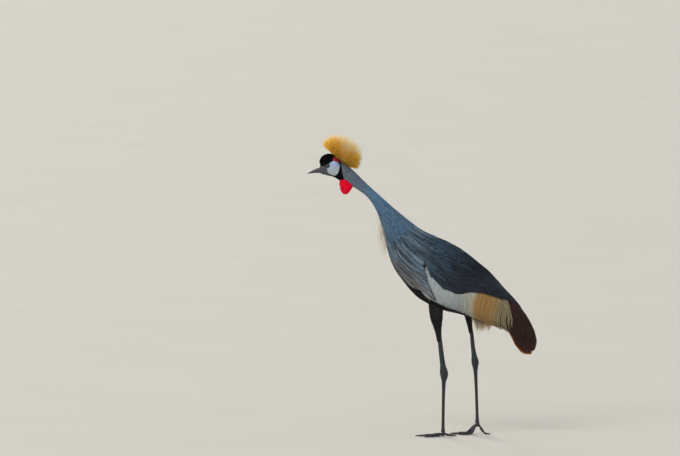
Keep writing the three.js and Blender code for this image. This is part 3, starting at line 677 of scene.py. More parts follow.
# %% The legs
HIP = 38.0
LEGS = {  # x, z, half thickness fore and aft, and across
    LEFT: [
        (44, 496, 24, 12), (48, 440, 22.5, 18), (50.5, 412, 17.5, 15.5), (54.5, 380, 11.5, 10.5),
        (58, 350, 8.6, 8), (61, 330, 8, 7.2), (67, 280, 8.6, 7.4), (71, 250, 9.8, 8.4),
        (73.5, 233, 13, 10.4), (75, 220, 14, 10.8), (75.5, 206, 11.5, 9), (74.5, 190, 7.4, 6.6),
        (73.5, 150, 5.6, 5), (72.5, 80, 5.2, 4.7), (72, 35, 5.5, 5.2), (72, 12, 7.5, 7),
        (72, 4, 5, 5),
    ],
    RIGHT: [
        (150, 490, 17, 8), (159, 443, 13.5, 11), (163.5, 415, 10.5, 9.5), (166.5, 392, 8.2, 8.2),
        (169.5, 371, 7, 7), (173, 350, 6.8, 6.4), (177.5, 308, 7.2, 6.4), (181.5, 279, 9, 7.6),
        (184, 263, 12, 9.4), (185.2, 250, 12.4, 9.6), (186, 235, 9, 7.4), (187, 215, 6.6, 6),
        (189, 170, 5.4, 4.9), (191.2, 110, 5.1, 4.7), (192.5, 62, 5.5, 5), (193, 38, 7.5, 7),
        (193, 29, 5, 5),
    ],
}


def leg_line(side, share):
    return through(np.array(LEGS[side], float), share * (len(LEGS[side]) - 1))


def leg_place(side):
    def place(share, angle):
        line = leg_line(side, share)
        close = np.sqrt(np.clip((1 - share) / 0.02, 0.05, 1))
        c, s = np.cos(angle), np.sin(angle)
        x = line[:, 0] + line[:, 2] * close * c * np.where(c > 0, 1.06, 0.94)
        return np.stack([x, side * HIP + line[:, 3] * close * s, line[:, 1]], 1)
    return place


print("half way down the left leg:", leg_line(LEFT, np.array([0.5])).round(1))

# %% [markdown]
# ## Toes
# Three toes point forward and a short one back, each with a pad under every joint. They bend down
# from the foot joint and then lie along the floor. The lowest corners are set level afterwards, so
# that the pads rest flat, as they do under the weight of a real bird.

# %% The toes, and the legs melted
ANKLE = {LEFT: (72, 8.5), RIGHT: (193, 34.5)}
TOES = {  # heading in degrees, length and thickness in mm
    "middle": (-2, 84, 6.2), "inner": (30, 60, 5.6), "outer": (-34, 68, 5.6),
    "hind": (168, 34, 4.6),
}
TOE_END = 3.4
JOINT_SWELL = 0.13


def toe_line(side, name, share):
    """Where a toe's middle runs: off the joint, down, and then along the floor."""
    heading, length, thick = TOES[name]
    turn = math.radians(heading) * -side
    x, z = ANKLE[side]
    rest = mix(thick, TOE_END, share) * 0.85
    down = smooth(0, 0.9 if name == "hind" else 0.5, share)
    reach = share * length
    flat = x - math.cos(turn) * reach, side * HIP + math.sin(turn) * reach
    return np.stack([*flat, mix(z, rest, down)], -1)


def toe_joints(name, share):
    """1 at the joints of a toe and -1 between them."""
    return np.cos(share * math.pi * 2 * (2 if name == "hind" else 3))


def toe_radius(name, share):
    return mix(TOES[name][2], TOE_END, share) * (1 + JOINT_SWELL * toe_joints(name, share))


def toe_place(side, name):
    def place(share, angle):
        at, ahead = toe_line(side, name, share), toe_line(side, name, share + 0.02)
        along = unit(ahead - at)
        across = unit(np.cross([0, 0, 1.0], along))
        up = np.cross(along, across)
        radius = toe_radius(name, share) * np.sqrt(np.clip((1 - share) / 0.03, 0.05, 1))
        c, s = np.cos(angle), np.sin(angle)
        pad = 1 + 0.16 * (s < 0) * toe_joints(name, share)
        return at + across * (radius * c)[:, None] + up * (radius * s * pad)[:, None]
    return place


parts = []
for side in (LEFT, RIGHT):
    parts.append(tube(150, 26, leg_place(side)))
    parts.append(ball((9, 8.5, 8), (ANKLE[side][0], side * HIP, ANKLE[side][1])))
    parts += [tube(40, 16, toe_place(side, name)) for name in TOES]
legs = melted("leg_skin", parts, 1.25, 3)
co = corners_of(legs)
co[:, 2] = np.maximum(co[:, 2], 0.0)
move_corners(legs, co)
print("legs:", len(legs.data.polygons), "faces, lowest", round(co[:, 2].min(), 2), "mm")

# %% [markdown]
# ## Markings
# Skin and plumage wear the same colours, so that nothing wrong shows through a gap. Painting them
# by hand would have to be done again after every change of shape. The borders are written once
# instead, as lines of station against angle for the body and as outlines for the bare face.

# %% The borders and the colours
MANTLE_EDGE = [
    (6, 95), (8.7, 91), (8.96, 90), (9.22, 95), (9.54, 97), (10.2, 99), (10.58, 100), (10.98, 98),
    (11.34, 96), (11.62, 93), (11.98, 87), (12.42, 77), (12.86, 62), (13.32, 48), (14.2, 18),
]
HACKLE_EDGE = [
    (0, 8.9), (60, 8.8), (89, 8.94), (98, 9.38), (105, 9.76), (113, 10.18), (124, 10.54),
    (134, 10.72), (135, 10), (144, 9.48), (151, 9.2), (168, 8.5), (180, 8),
]
HACKLE_LOW = [
    (5.5, 180), (7.4, 180), (8.4, 168), (9.2, 151), (9.82, 138), (10.2, 135), (10.72, 134),
]
BELLY_EDGE = [
    (8.6, 166), (9.2, 151), (9.82, 137), (10.14, 142), (10.42, 146), (10.8, 142), (11.38, 145.5),
    (11.8, 151), (12.24, 158), (12.7, 168), (13.2, 181),
]
CHEEK = np.array([
    (-334.5, 941), (-331.5, 953), (-317, 965.5), (-303, 963.5), (-291.5, 954.5), (-290.5, 942),
    (-296.5, 922), (-308, 913.5), (-325, 918), (-333, 928),
])
LORE = np.array([
    (-364, 946), (-352, 946.5), (-342, 949), (-333.5, 943), (-331, 930), (-327, 918.5),
    (-345, 914), (-364, 916),
])
RED = np.array([(-316, 977), (-304, 979.5), (-293, 967), (-291, 957.5), (-303, 963.5), (-316, 967)])
COLOURS = {
    "velvet": "#050507", "cheek": "#aeb9c6", "red": "#a8222e", "neck": "#4c6074",
    "breast": "#22262d", "mantle": "#151a21", "lore": "#55535c", "white": "#b4bcbb",
    "gold": "#7c5626", "maroon": "#241513", "belly": "#0d0e11", "leg": "#2d2f33",
}
NAMES = list(COLOURS)
print("colours of the skin:", len(NAMES))

# %% [markdown]
# ## Asking for a marking
# Every later step asks the same few functions where a colour begins. The bare face has a rounded
# outline with a border a millimetre soft, because skin and velvet meet in a line of tiny feathers.
# A painted mask could hold it, but it would blur on the large head faces.

# %% Which colour is where
LIDS = (7.6, 8.8)  # mm from the middle of the eye over which the bare face begins


def edge(table, at):
    return np.interp(at, *np.array(table, float).T)


def rounded(outline, cuts=6):
    """A closed outline drawn as one smooth curve through its corners."""
    loop = np.vstack([outline[-1:], outline, outline[:2]]).astype(float)
    return through(loop, 1 + np.arange(len(outline) * cuts) / cuts)


def inside(outline, x, z, soft):
    """1 inside a rounded outline and 0 outside, with a soft border."""
    outline = rounded(outline)
    gap = np.full(np.shape(x), 1e9)
    wind = np.zeros(np.shape(x))
    for a, b in zip(outline, np.roll(outline, -1, 0)):
        t = ((x - a[0]) * (b[0] - a[0]) + (z - a[1]) * (b[1] - a[1])) / ((b - a) ** 2).sum()
        t = np.clip(t, 0, 1)
        gap = np.minimum(gap, np.hypot(x - a[0] - t * (b[0] - a[0]), z - a[1] - t * (b[1] - a[1])))
        crosses = (a[1] > z) != (b[1] > z)
        at = a[0] + (z - a[1]) / (b[1] - a[1] + 1e-12) * (b[0] - a[0])
        wind += crosses & (x < at)
    return smooth(-soft, soft, np.where(wind % 2 == 1, gap, -gap))


def bare(points):
    """How much a place on the head belongs to the cheek, to the red patch and to the lore."""
    x, z = points[:, 0], points[:, 2]
    wide = smooth(5, 9, np.abs(points[:, 1]))
    lids = smooth(*LIDS, np.hypot(x - EYE[0], (z - EYE[2]) * 1.12))
    lore = inside(LORE, x, z, 1.5) * lids
    return inside(CHEEK, x, z, 1.0) * wide * lids, inside(RED, x, z, 1.0) * wide, lore


def collar_edge(z):
    """Where the black of the head ends and the grey of the neck begins."""
    return -284 - 0.2 * (z - 940)


def livery(station, degrees):
    """The colour at each place on the body, as an index into COLOURS."""
    below = (station > edge(HACKLE_EDGE, degrees)) & (degrees >= edge(MANTLE_EDGE, station))
    found = np.full(np.shape(station), NAMES.index("neck"))
    for name, here in (
        ("breast", (station > 5.2) & (degrees > 40)),
        ("mantle", (station > 8.3) & (degrees < edge(MANTLE_EDGE, station))),
        ("white", below),
        ("gold", below & (station > 12.2 + degrees / 400)),
        ("maroon", below & (station > 13.3 + (degrees - 48) / 70)),
        ("belly", (degrees > edge(BELLY_EDGE, station)) & (station > 8.6)),
    ):
        found = np.where(here, NAMES.index(name), found)
    return found


print("the flank is", NAMES[int(livery(np.array(11.0), np.array(120.0)))])

# %% [markdown]
# ## One union
# Real skin has no joints between neck, belly and thigh. The union welds trunk, head and legs where
# they cross, and keeps the fine net of the head and the coarse one of the trunk. One remesh over
# everything would need the fineness of the face for the whole bird.

# %% The whole skin
TRUNK = (1.0, 14.9)  # stations under the plumage


def trunk_place(share, angle):
    station = mix(*TRUNK, share)
    points, _ = on_body(1, station, np.degrees(np.abs(angle)), np.sign(np.sin(angle)))
    middle = (on_body(1, station, 0, 1)[0] + on_body(1, station, 180, 1)[0]) / 2
    close = np.sqrt(np.clip((1 - share) / 0.03, 0, 1)) * mix(0.95, 1.0, smooth(0, 0.06, share))
    return middle + (points - middle) * close[:, None]


skin = piece_of("skin", [tube(150, 72, trunk_place)])
for other in (head, legs):
    with_modifier(skin, "BOOLEAN", operation="UNION", solver="MANIFOLD", object=other)
for other in (head, legs):
    bpy.data.objects.remove(other)
print("skin:", len(skin.data.polygons), "faces")

# %% [markdown]
# ## Which place of the body is nearest
# The union has forgotten stations and angles, so each of its corners looks up the nearest of six
# thousand places on the body and takes the colour from there. A search tree makes that quick.

# %% The body's marking at every corner of the skin
co = corners_of(skin)
stations, angles = np.meshgrid(np.linspace(0, 16, 130), np.linspace(0, 180, 46), indexing="ij")
samples = on_body(1, stations, angles, RIGHT)[0].reshape(-1, 3)
places = KDTree(len(samples))
for i, p in enumerate(samples):
    places.insert(p, i)
places.balance()
nearest = np.array([places.find((p[0], abs(p[1]), p[2]))[1] for p in co])
mark = livery(stations.ravel()[nearest], angles.ravel()[nearest])
print("corners by colour:", dict(zip(NAMES, np.bincount(mark, minlength=len(NAMES)).tolist())))

# %% [markdown]
# ## Painting the skin
# The cheek is white skin, painted bluer above for the sky light on it and creamier below; the patch
# over it is red with blood. The leg turns to dark scales where its feathers end. Every colour is
# laid over the last with a soft border and kept on the corners, since a painted picture would have
# to be unwrapped and stored.

# %% The skin's colours
table = np.array([colour(c) for c in COLOURS.values()])
is_head = (co[:, 0] < -262) & (co[:, 2] > 880)
beside_hip = np.abs(np.abs(co[:, 1]) - HIP) < 24
is_leg = (co[:, 2] < 200) | (co[:, 2] < 425) & beside_hip & (co[:, 0] < 215)
thigh_low = np.where(co[:, 1] < 0, 348, 371)
scaly = smooth(thigh_low + 25, thigh_low, co[:, 2]) * is_leg
cheek, red, lore = bare(co)
# Painted sky light on the white cheek: tinted blue at its top and warmer towards its bottom.
lower = smooth(952, 930, co[:, 2])[:, None]
cheek_sky_tint = mix(np.array([0.86, 0.95, 1.25, 1]), np.array([1.06, 1.06, 0.96, 1]), lower)
paint = table[mark]
for name, share, tone in (
    ("velvet", smooth(12, 0, co[:, 0] - collar_edge(co[:, 2])) * is_head, 1),
    ("leg", scaly, 1),
    ("cheek", cheek * is_head, cheek_sky_tint),
    ("red", red * is_head, 1),
    ("lore", lore * (1 - cheek) * is_head, 1),
):
    paint = mix(paint, table[NAMES.index(name)] * tone, share[:, None])
paint[:, 3] = 1
keep_on(skin.data, "marking", paint, "FLOAT_COLOR", "color")
keep_on(skin.data, "bare", np.maximum(np.maximum(cheek, red), lore))
keep_on(skin.data, "scaly", scaly)
skin.data.polygons.foreach_set("use_smooth", np.ones(len(skin.data.polygons), bool))
flesh_nodes = [f"{part}_{side}" for part in ("thigh", "shank", "tarsus", "foot") for side in SIDES]
settle(skin, "body_grey", "head", "neck", "torso", *flesh_nodes)
print("bare corners:", int((cheek + red > 0.5).sum()), "scaly corners:", int((scaly > 0.5).sum()))

# %% [markdown]
# ## The finish of the skin
# Bare skin is finely pebbled and a little oily; a crane's shin is covered with small horny scales,
# darker in the seams. Both could be painted pictures. Patterns in the bird's own space are used,
# because they have no seams and one material can turn from one finish into the other.

# %% The skin's material
# Living skin and worn horn: a soft sheen on the face, a harder one on the scales, so that the eye
# tells the two apart although both are dark or pale.
material, tree, shader = recipe("bare_and_scaly_skin", Specular_IOR_Level=0.35)
place = node(tree, "ShaderNodeTexCoord", out="Object")
marking = node(tree, "ShaderNodeAttribute", out="Color", attribute_name="marking")
scaly = node(tree, "ShaderNodeAttribute", out="Fac", attribute_name="scaly")
naked = node(tree, "ShaderNodeAttribute", out="Fac", attribute_name="bare")
scales = node(tree, "ShaderNodeTexVoronoi", {"Vector": place, "Scale": per_metre(2.381)},
              "Distance", feature="DISTANCE_TO_EDGE")
# Real skin is pebbled at about 0.5 mm, too fine to show, so the pebbles are drawn 1.1 mm apart.
pebble, patchy = (
    node(tree, "ShaderNodeTexNoise", {"Vector": place, "Scale": per_metre(mm), "Detail": detail})
    for mm, detail in ((1.1111, 2.0), (14.286, 4.0))
)
seams = node(tree, "ShaderNodeMapRange", {0: scales, 1: 0.0, 2: 0.12, 3: 0.55, 4: 1.0})
seams = node(tree, "ShaderNodeMix", {0: scaly, 2: 1.0, 3: seams})
uneven = node(tree, "ShaderNodeMapRange", {0: patchy, 1: 0.3, 2: 0.7, 3: 0.82, 4: 1.15})
tone = node(tree, "ShaderNodeMath", {0: seams, 1: uneven}, operation="MULTIPLY")
height = node(tree, "ShaderNodeMath", {0: pebble, 1: naked, 2: seams}, operation="MULTIPLY_ADD")
bumpy = {"Strength": 0.5, "Distance": 0.3 * MM, "Height": height}
feed(tree, shader, {
    "Base Color": node(tree, "ShaderNodeVectorMath", {0: marking, 3: tone}, operation="SCALE"),
    "Roughness": node(tree, "ShaderNodeMapRange", {0: scaly, 3: 0.62, 4: 0.42}),
    "Normal": node(tree, "ShaderNodeBump", bumpy),
})
skin.data.materials.clear()
skin.data.materials.append(material)
skin.data.polygons.foreach_set("material_index", np.zeros(len(skin.data.polygons), np.int32))
print("skin finish:", material.name)

# %% [markdown]
# ## Roots on the skin itself
# On the head there are no stations, so its tufts grow from random points of the skin, spread by
# area. Each one leaves along the way out and lies over towards the nape, as combed fur does. Hair
# can be combed in Blender too, but its curves would be lost on the way out.

# %% Growing from points of the skin
def xyz(x, y, z):
    """Three columns of numbers, any of which may be one number for all rows."""
    return np.stack(np.broadcast_arrays(x, y, z), -1).astype(float)


def head_unwrap(points):
    """The head's own skin unrolled: along it from bill to nape, and round its long axis."""
    x, y, z = points.T
    turn = np.arctan2(y, z - 945 + 0.7 * (x + 316) * (x > -316))
    return np.stack([(x + 370) / 180 * 0.96 + 0.02, 0.5 + turn / math.pi * 0.48], 1)


def skin_roots(count, low, high, keep):
    """Even random places on the skin inside a box, with the way out, where keep says so."""
    faces = skin.data.polygons
    areas, centres, ways = (np.zeros(len(faces) * k, np.float32) for k in (1, 3, 3))
    for field, values in (("area", areas), ("center", centres), ("normal", ways)):
        faces.foreach_get(field, values)
    centres, ways = centres.reshape(-1, 3) / MM, ways.reshape(-1, 3)
    within = np.all((centres > low) & (centres < high), 1)
    share = np.cumsum(np.where(within, areas, 0))
    picks = np.searchsorted(share, (np.arange(count) + rng.random(count)) / count * share[-1])
    picks = np.minimum(picks, len(centres) - 1)
    p, n = centres[picks], ways[picks]
    good = keep(p, n)
    return p[good], n[good]


def grown(points, ways, lay, long, steps, rise, curl=0.5):
    """Lines that leave the skin and lie over along lay."""
    u = np.linspace(0, 1, steps + 1)[None, :, None]
    lay = unit(lay - ways * (lay * ways).sum(-1, keepdims=True))
    long = np.broadcast_to(np.asarray(long, float), (len(points),))[:, None, None]
    up = rise * (u - curl * u * u)
    line = points[:, None] - ways[:, None] * 0.35 + long * (lay[:, None] * u + ways[:, None] * up)
    return line, np.broadcast_to(ways[:, None], line.shape)


print("faces to grow from:", len(skin.data.polygons))

# %% [markdown]
# ## Black velvet
# The forehead is a cushion of feathers so short and close that it looks like velvet. A velvet
# shader on the skin would look right from afar, but its edge against the sky would be hard, so
# twenty thousand tufts are grown. The bare face is left out by asking the markings.

# %% Velvet tufts
LIDS_BARE = 9.3  # mm around the eye that no tuft grows in


def velvet_here(p, n):
    near_eye = np.hypot(p[:, 0] - EYE[0], (p[:, 2] - EYE[2]) * 1.1) < LIDS_BARE
    black = p[:, 0] < collar_edge(p[:, 2]) + jitter(len(p), 6)
    return (sum(bare(p)) < 0.35) & ~near_eye & black


points, ways = skin_roots(20500, (-380, -60, 880), (-262, 60, 1000), velvet_here)
lay = xyz(1, 0.25 * np.sign(points[:, 1]), -0.35 + 0.012 * (points[:, 2] - 950))
lay = lay + 0.12 * rng.normal(size=points.shape)
cushion = smooth(950, 966, points[:, 2]) * smooth(-296, -306, points[:, 0])
long = mix(3.6, 4.6, cushion) * rng.uniform(0.8, 1.15, len(points))
line, out = grown(points, ways, lay, long, 3, mix(0.5, 0.75, cushion)[:, None, None])
# Upright black barbs trap light between them: almost no gloss, so the eye finds no surface.
velvet = plumage("black_velvet_plumage", ("#020203", "#0b0c0f"), streak=3.0, root=0.8,
                 Roughness=0.85, Specular_IOR_Level=0.12)
feathers("head_velvet", velvet, line, out, 0.75, 0.3, head_unwrap(points), tip=0.55,
         slot="head_velvet")

# %% [markdown]
# ## Bristles before the eye
# The grey skin between bill and eye isn't quite bare: sparse, hair-like bristles lie back over it.
# A bump could hint at them; they are the same tufts as the velvet, only thinner and paler, so one
# more call makes real ones.

# %% Bristles on the lore
def lore_here(p, n):
    return (bare(p)[2] > 0.4) & (bare(p)[0] < 0.2)


points, ways = skin_roots(2600, (-368, -40, 908), (-322, 40, 954), lore_here)
lay = xyz(1, 0.2 * np.sign(points[:, 1]), 0.15 * rng.normal(size=len(points)))
lay = lay + 0.2 * rng.normal(size=points.shape)
line, out = grown(points, ways, lay, rng.uniform(2.0, 3.6, len(points)), 3, 0.3)
# Bare shafts of horn: a little shinier than barbs, which gives the lore its grey bloom.
lore_coat = plumage("lore_bristles", ("#232329", "#7c7a84"), streak=2.0, root=0.8, Roughness=0.7,
                    Specular_IOR_Level=0.2)
feathers("lore_bristles", lore_coat, line, out, 0.28, 0.16, head_unwrap(points), slot="head_velvet")

# %% [markdown]
# ## The neck
# The neck wears short, narrow, blue-grey feathers that lengthen downwards until they turn into the
# hackles of the breast. Each one starts at the skin, rises to the edge of the plumage and lies
# along it. A patterned tube would be lighter, but its outline would be bare and hard.

# %% Where the neck feathers lie
station, degrees, side = spread(9000, (-0.15, 6.2), (0, 180))
root = on_body(0, station, degrees, side)[0]
keep = root[:, 0] > collar_edge(root[:, 2]) - 6 + jitter(len(root), 5)
station, degrees, side = station[keep], degrees[keep], side[keep]
n = len(station)
long = mix(0.34, 0.72, smooth(1, 6, station)) * rng.uniform(0.8, 1.2, n)
line, out = lines_on_body(station, long, degrees, side, 3, lift=(-0.8, 0.9),
                          end=degrees + jitter(n, 5))
# Fine loose barbs with air between them: matt, and paler where they catch the sky.
neck_coat = plumage("blue_grey_neck_plumage", ("#42607f", "#93c1ea"), ("#555e69", "#a9b1bb"),
                    streak=4.0, contrast=0.8, Roughness=0.65)
print("neck feathers:", n)

# %% [markdown]
# ## Behind the collar
# Between the black of the head and the first neck feathers the nape has short feathers of its own.
# The body map starts below it, so they grow from the skin like the velvet.

# %% Nape feathers
def nape_here(p, n):
    return (p[:, 0] > collar_edge(p[:, 2]) - 2) & (p[:, 2] > 905 - 0.6 * (p[:, 0] + 280))


nape, ways = skin_roots(2400, (-296, -40, 900), (-250, 40, 985), nape_here)
lay = xyz(1, 0.1 * np.sign(nape[:, 1]), -0.75) + 0.1 * rng.normal(size=nape.shape)
short_line, short_out = grown(nape, ways, lay, rng.uniform(7, 10, len(nape)), 3, 0.22)
feathers("nape_plumage", neck_coat, short_line, short_out, 0.95, 0.35, head_unwrap(nape),
         zone=0.85, tip=0.6, slot="neck_grey")

# %% [markdown]
# ## Throat and neck
# The throat is greyer and paler than the sides, and so is the neck close to the head. The zone of a
# feather carries that from one livery to the other, with some chance in it, so no line shows.

# %% Neck feathers
throat = smooth(150, 174, degrees + jitter(n, 8)) * smooth(0.8, 2, station)
throat = np.maximum(throat, 0.8 * smooth(3.2, 1.2, station + jitter(n, 0.6)))
feathers("neck_plumage", neck_coat, line, out, mix(0.9, 2.0, smooth(1.5, 6, station)), 0.4,
         unwrap(station, degrees, side), zone=throat, tip=0.6, slot="neck_grey")

# %% [markdown]
# ## Hackles
# The breast hangs full of long, narrow hackles with loose edges. They follow the neck, sweep back
# and up under it and end over the front of the folded wing. Dark roots between pale edges give the
# streaks; a striped pattern would lie flat, so neighbouring lanes get quite different tints.

# %% How hackles lie
# Long silky barbs with a soft shine: the contrast between root and edge reads as deep fringes.
hackle_coat = plumage("breast_hackles", ("#0c1118", "#86a0b5"), ("#0d0c10", "#8c8783"),
                      streak=3.0, contrast=1.45, root=0.35, Roughness=0.6)


def hackle_lie(station, degrees):
    """The rows of the breast turn upwards where the wing begins."""
    turned = 60 + (degrees - 60) * (edge(HACKLE_LOW, station) - 60) / 120
    return np.where(degrees < 60, degrees, turned)


def reach_edge(station, degrees, laid, long):
    """Lengths cut so that tips end raggedly at the wing, and where each one would end."""
    n = len(station)
    for _ in range(2):
        end_at = edge(HACKLE_EDGE, hackle_lie(station + long, degrees))
        end_at = end_at - rng.uniform(0, 0.16, n) ** 1.5
        end_at = end_at + 0.5 * rng.random(n) * smooth(92, 80, laid)
        long = np.clip(end_at - station, 0.3, long)
    return long, end_at


print("a hackle at 150 degrees lies at", hackle_lie(9.0, 150.0).round(1))

# %% [markdown]
# ## Laying the hackles
# Both sides are made alike but not as a mirror image, because chance decides each tip. Those near
# the wing lie on top of it, and the ones in dark lanes lie a little deeper.

# %% Breast hackles
for name, sign in SIDES.items():
    station, degrees, _ = spread(5600, (4.2, 10.4), (0, 180))
    laid = hackle_lie(station, degrees)
    keep = ~((degrees < 55) & (station > 7.4)) & (station < edge(HACKLE_EDGE, laid) - 0.6)
    station, degrees, laid = station[keep], degrees[keep], laid[keep]
    n = len(station)
    long = mix(1.3, 2.1, smooth(50, 170, degrees)) * rng.uniform(0.75, 1.05, n)
    long, end_at = reach_edge(station, degrees, laid, long * mix(0.8, 1.0, smooth(4.2, 6, station)))
    lane = lanes(station + 0.75 * long, degrees, 3.2, 1.5)
    back = smooth(7.2, 9.0, station + 0.75 * long) * smooth(105, 72, laid)
    at_edge = smooth(0.35, 0.1, end_at - station - long) * smooth(75, 90, laid)
    high = mix(-2.6, 1.0, lane) + 1.6 * back + jitter(n, 0.4)
    high = np.maximum(high, mix(-9, 0.4, at_edge) + jitter(n, 0.3))
    line, out = lines_on_body(station, long, degrees, sign, 6, (mix(0.95, 0.4, at_edge), 0.0),
                              (-1.5, high), degrees + jitter(n, 1.2), hackle_lie, 1.8)
    brown = smooth(95, 135, hackle_lie(station + long, degrees) + jitter(n, 14))
    brown = brown * smooth(5.5, 7.5, station + jitter(n, 0.6))
    wide = rng.uniform(1.1, 2.2, n) * mix(0.8, 1.25, smooth(4.5, 8, station))
    tint = (0.82 * lane + 0.18 * rng.random(n)) * (1 - 0.55 * back)
    feathers(f"hackles_{name}", hackle_coat, line, out, wide, 0.55, unwrap(station, degrees, sign),
             tint=tint, zone=brown, tip=0.55)

# %% [markdown]
# ## Wisps
# At the foot of the neck a few pale, hair-thin plumes have lost their hooks and hang free. Strands
# of simulated hair would hang as well, but a drop, a swing and a little chance are enough here.

# %% Wisps at the foot of the neck
n = 150
station = 4.7 + 1.9 * rng.random(n) ** 0.8
side = np.where(np.arange(n) % 2, LEFT, RIGHT)
roots, out = on_body(0.4, station, 178 - rng.uniform(0, 30, n), side)
u = np.linspace(0, 1, 7)[None, :, None]
fall = xyz(rng.uniform(-26, 12, n), side * rng.uniform(0, 11, n),
           -rng.uniform(30, 105, n) * mix(1, 0.75, rng.random(n)))
swing = np.array([-7.0, 0, 0]) * np.sin(np.pi * u)
swing = swing + rng.normal(0, 2.6, (n, 1, 3)) * np.sin(2 * np.pi * u)
line = roots[:, None] + fall[:, None] * u + swing
# Single barbs without colour: cream against the dark breast, and quite matt.
wisp_coat = plumage("pale_wisps", ("#d8cdb6", "#fffaf0"), streak=2.0, root=0.9, Roughness=0.6)
feathers("wisps", wisp_coat, line, np.broadcast_to(out[:, None], line.shape), 0.7, 0.35,
         unwrap(station, 170, side), tip=0.7, slot="neck_grey")

# %% [markdown]
# ## Breast, belly and flanks
# Plain contour feathers cover what the hackles and wings leave. They overlap like tiles and give
# the black line along the belly. Few of them are seen, so they are broad and not very many.

# %% Contour feathers
TOP_OF_FLANK = 9.82  # the station from which the belly's own edge counts
station, degrees, side = spread(5200, (5.6, 14.6), (60, 180))
border = np.where(station < TOP_OF_FLANK, edge(HACKLE_LOW, station), edge(BELLY_EDGE, station))
under = degrees > border - 9
keep = (station < 10.4) | under
station, degrees, side, under = station[keep], degrees[keep], side[keep], under[keep]
n = len(station)
line, out = lines_on_body(station, rng.uniform(0.5, 0.75, n), degrees, side, 4,
                          (1.0, np.where(under, 0.06, 0.6)),
                          (-0.5, np.where(under, jitter(n, 0.6), -0.5)), surfacing=1.5)
# Close, short vanes: a dull, even dark that lets the bright feathers above it speak.
contour = plumage("contour_feathers", ("#1b2027", "#373e48"), ("#050607", "#15171a"),
                  streak=5.0, slant=0.5, root=0.5, Roughness=0.7)
wide = rng.uniform(3.5, 5.5, n)
black = np.where(under, smooth(7.4, 9, station + jitter(n, 0.5)), 0)
feathers("body_plumage", contour, line, out, wide, 0.6, unwrap(station, degrees, side),
         zone=black, tip=0.4, cup=0.12)

# %% [markdown]
# ## Mantle and scapulars
# The slate back is made of long, pointed feathers that draw together to one point over the base of
# the plumes. They lie tight, so the back shines softly. Their tips end raggedly over the white
# coverts: near that brim they are lifted and flare a little, which a straight cut would not show.

# %% The slate mantle
# Tight, hooked barbs: a smooth slate sheen, bluer at the shoulder than on the back.
mantle_coat = plumage("slate_mantle", ("#0f141b", "#252c37"), ("#233443", "#4a6378"),
                      streak=5.0, slant=0.55, contrast=0.55, root=0.85, Roughness=0.6)


def mantle_lie(station, degrees, inset=3.0):
    """Rows that draw together behind, and stay above the edge of the mantle."""
    own = degrees * (1 - 0.47 * smooth(10.6, 13.6, station))
    return np.minimum(own, edge(MANTLE_EDGE, station) - inset)


for name, sign in SIDES.items():
    station, degrees, _ = spread(1050, (6.9, 12.6), (0, 100))
    station = station + jitter(len(station), 0.05)
    keep = ~((degrees > 70) & (station < 8.2))
    station, degrees = station[keep], degrees[keep]
    n = len(station)
    long = mix(1.5, 1.9, smooth(8, 10, station)) * rng.uniform(0.82, 1.06, n)
    to_edge = edge(MANTLE_EDGE, station + long) - mantle_lie(station + long, degrees)
    brim = smooth(40, 22, to_edge) * smooth(8.3, 8.8, station + 0.5 * long)
    inset = (3 + 8 * rng.random(n) ** 2)[:, None]
    flare = (10 * rng.random(n) ** 3 * brim)[:, None]

    def lie(s, d, inset=inset, flare=flare, start=station[:, None], reach=long[:, None]):
        return mantle_lie(s, d, inset) + flare * ((s - start) / reach) ** 3

    high = mix(rng.uniform(-1.6, 0.6, n), rng.uniform(0.3, 1.5, n), brim)
    deep = mix(mix(0.9, 0.35, smooth(7, 9, station)), 0.03, brim)
    line, out = lines_on_body(station, long, degrees, sign, 7, (deep, 0.0),
                              (mix(-4, -1.2, brim), high), degrees + jitter(n, 2), lie, 1.4)
    fore = smooth(9.6, 7.6, station + jitter(n, 0.7))
    feathers(f"mantle_{name}", mantle_coat, line, out, rng.uniform(4.5, 7.5, n), 0.5,
             unwrap(station, degrees, sign), section=VANE, zone=fore, tip=0.62, cup=0.16,
             roll=sign * 0.06, ragged=0.06, slot="wing_plumage")

# %% [markdown]
# ## The lines of the folded wing
# The folded wing hangs from under the mantle in one fall of feathers: broad white coverts in
# front, then narrow gold plumes like combed hair, then a few straw ones, with the maroon
# secondaries behind. Bones could fold a spread wing, but its folded lines are all that is seen, so
# they are written once, from front to back, and read anywhere between.

# %% The fall of the wing
HANGING = np.array([  # root station and degrees, tip station and degrees
    (8.95, 82, 9.9, 138),
    (9.3, 78, 10.3, 144.5), (9.75, 74, 10.8, 143), (10.25, 72, 11.25, 145.5),
    (10.75, 71, 11.75, 150.5), (11.2, 69, 12.2, 157.5), (11.6, 66, 12.62, 164),
    (11.9, 60, 12.98, 167), (12.2, 54, 13.38, 168), (12.45, 46, 13.8, 168),
    (12.65, 40, 14.25, 168), (12.85, 34, 14.75, 164), (13, 30, 15.05, 138), (13.05, 26, 14.9, 104),
], float)
MAROON = np.array([
    (12.9, 13, 17.3, 14), (13, 28, 17.9, 44), (13.1, 43, 18, 92), (13.2, 58, 17.85, 136),
    (13.3, 73, 17.3, 152), (13.4, 88, 16.6, 160), (13.5, 103, 15.9, 163),
], float)


def falling(lines, at, first, last, side, steps, lift, bow=0.04):
    """Lines along the fall of the wing, from a share of it to another, and their roots."""
    def each(value):
        return np.broadcast_to(value, at.shape)[:, None]

    u = np.linspace(0, 1, steps + 1)[None]
    row = through(lines, at)[:, None]
    v = mix(each(first), each(last), u)
    station = mix(row[..., 0], row[..., 2], v) + bow * np.sin(np.pi * v)
    degrees = mix(row[..., 1], row[..., 3], v)
    high = mix(each(lift[0]), each(lift[1]), u)
    line, out = on_body(0, station, degrees, each(side), high)
    return line, out, unwrap(station[:, 0], degrees[:, 0], side)


print("rows in the fall:", len(HANGING), "and", len(MAROON), "maroon")

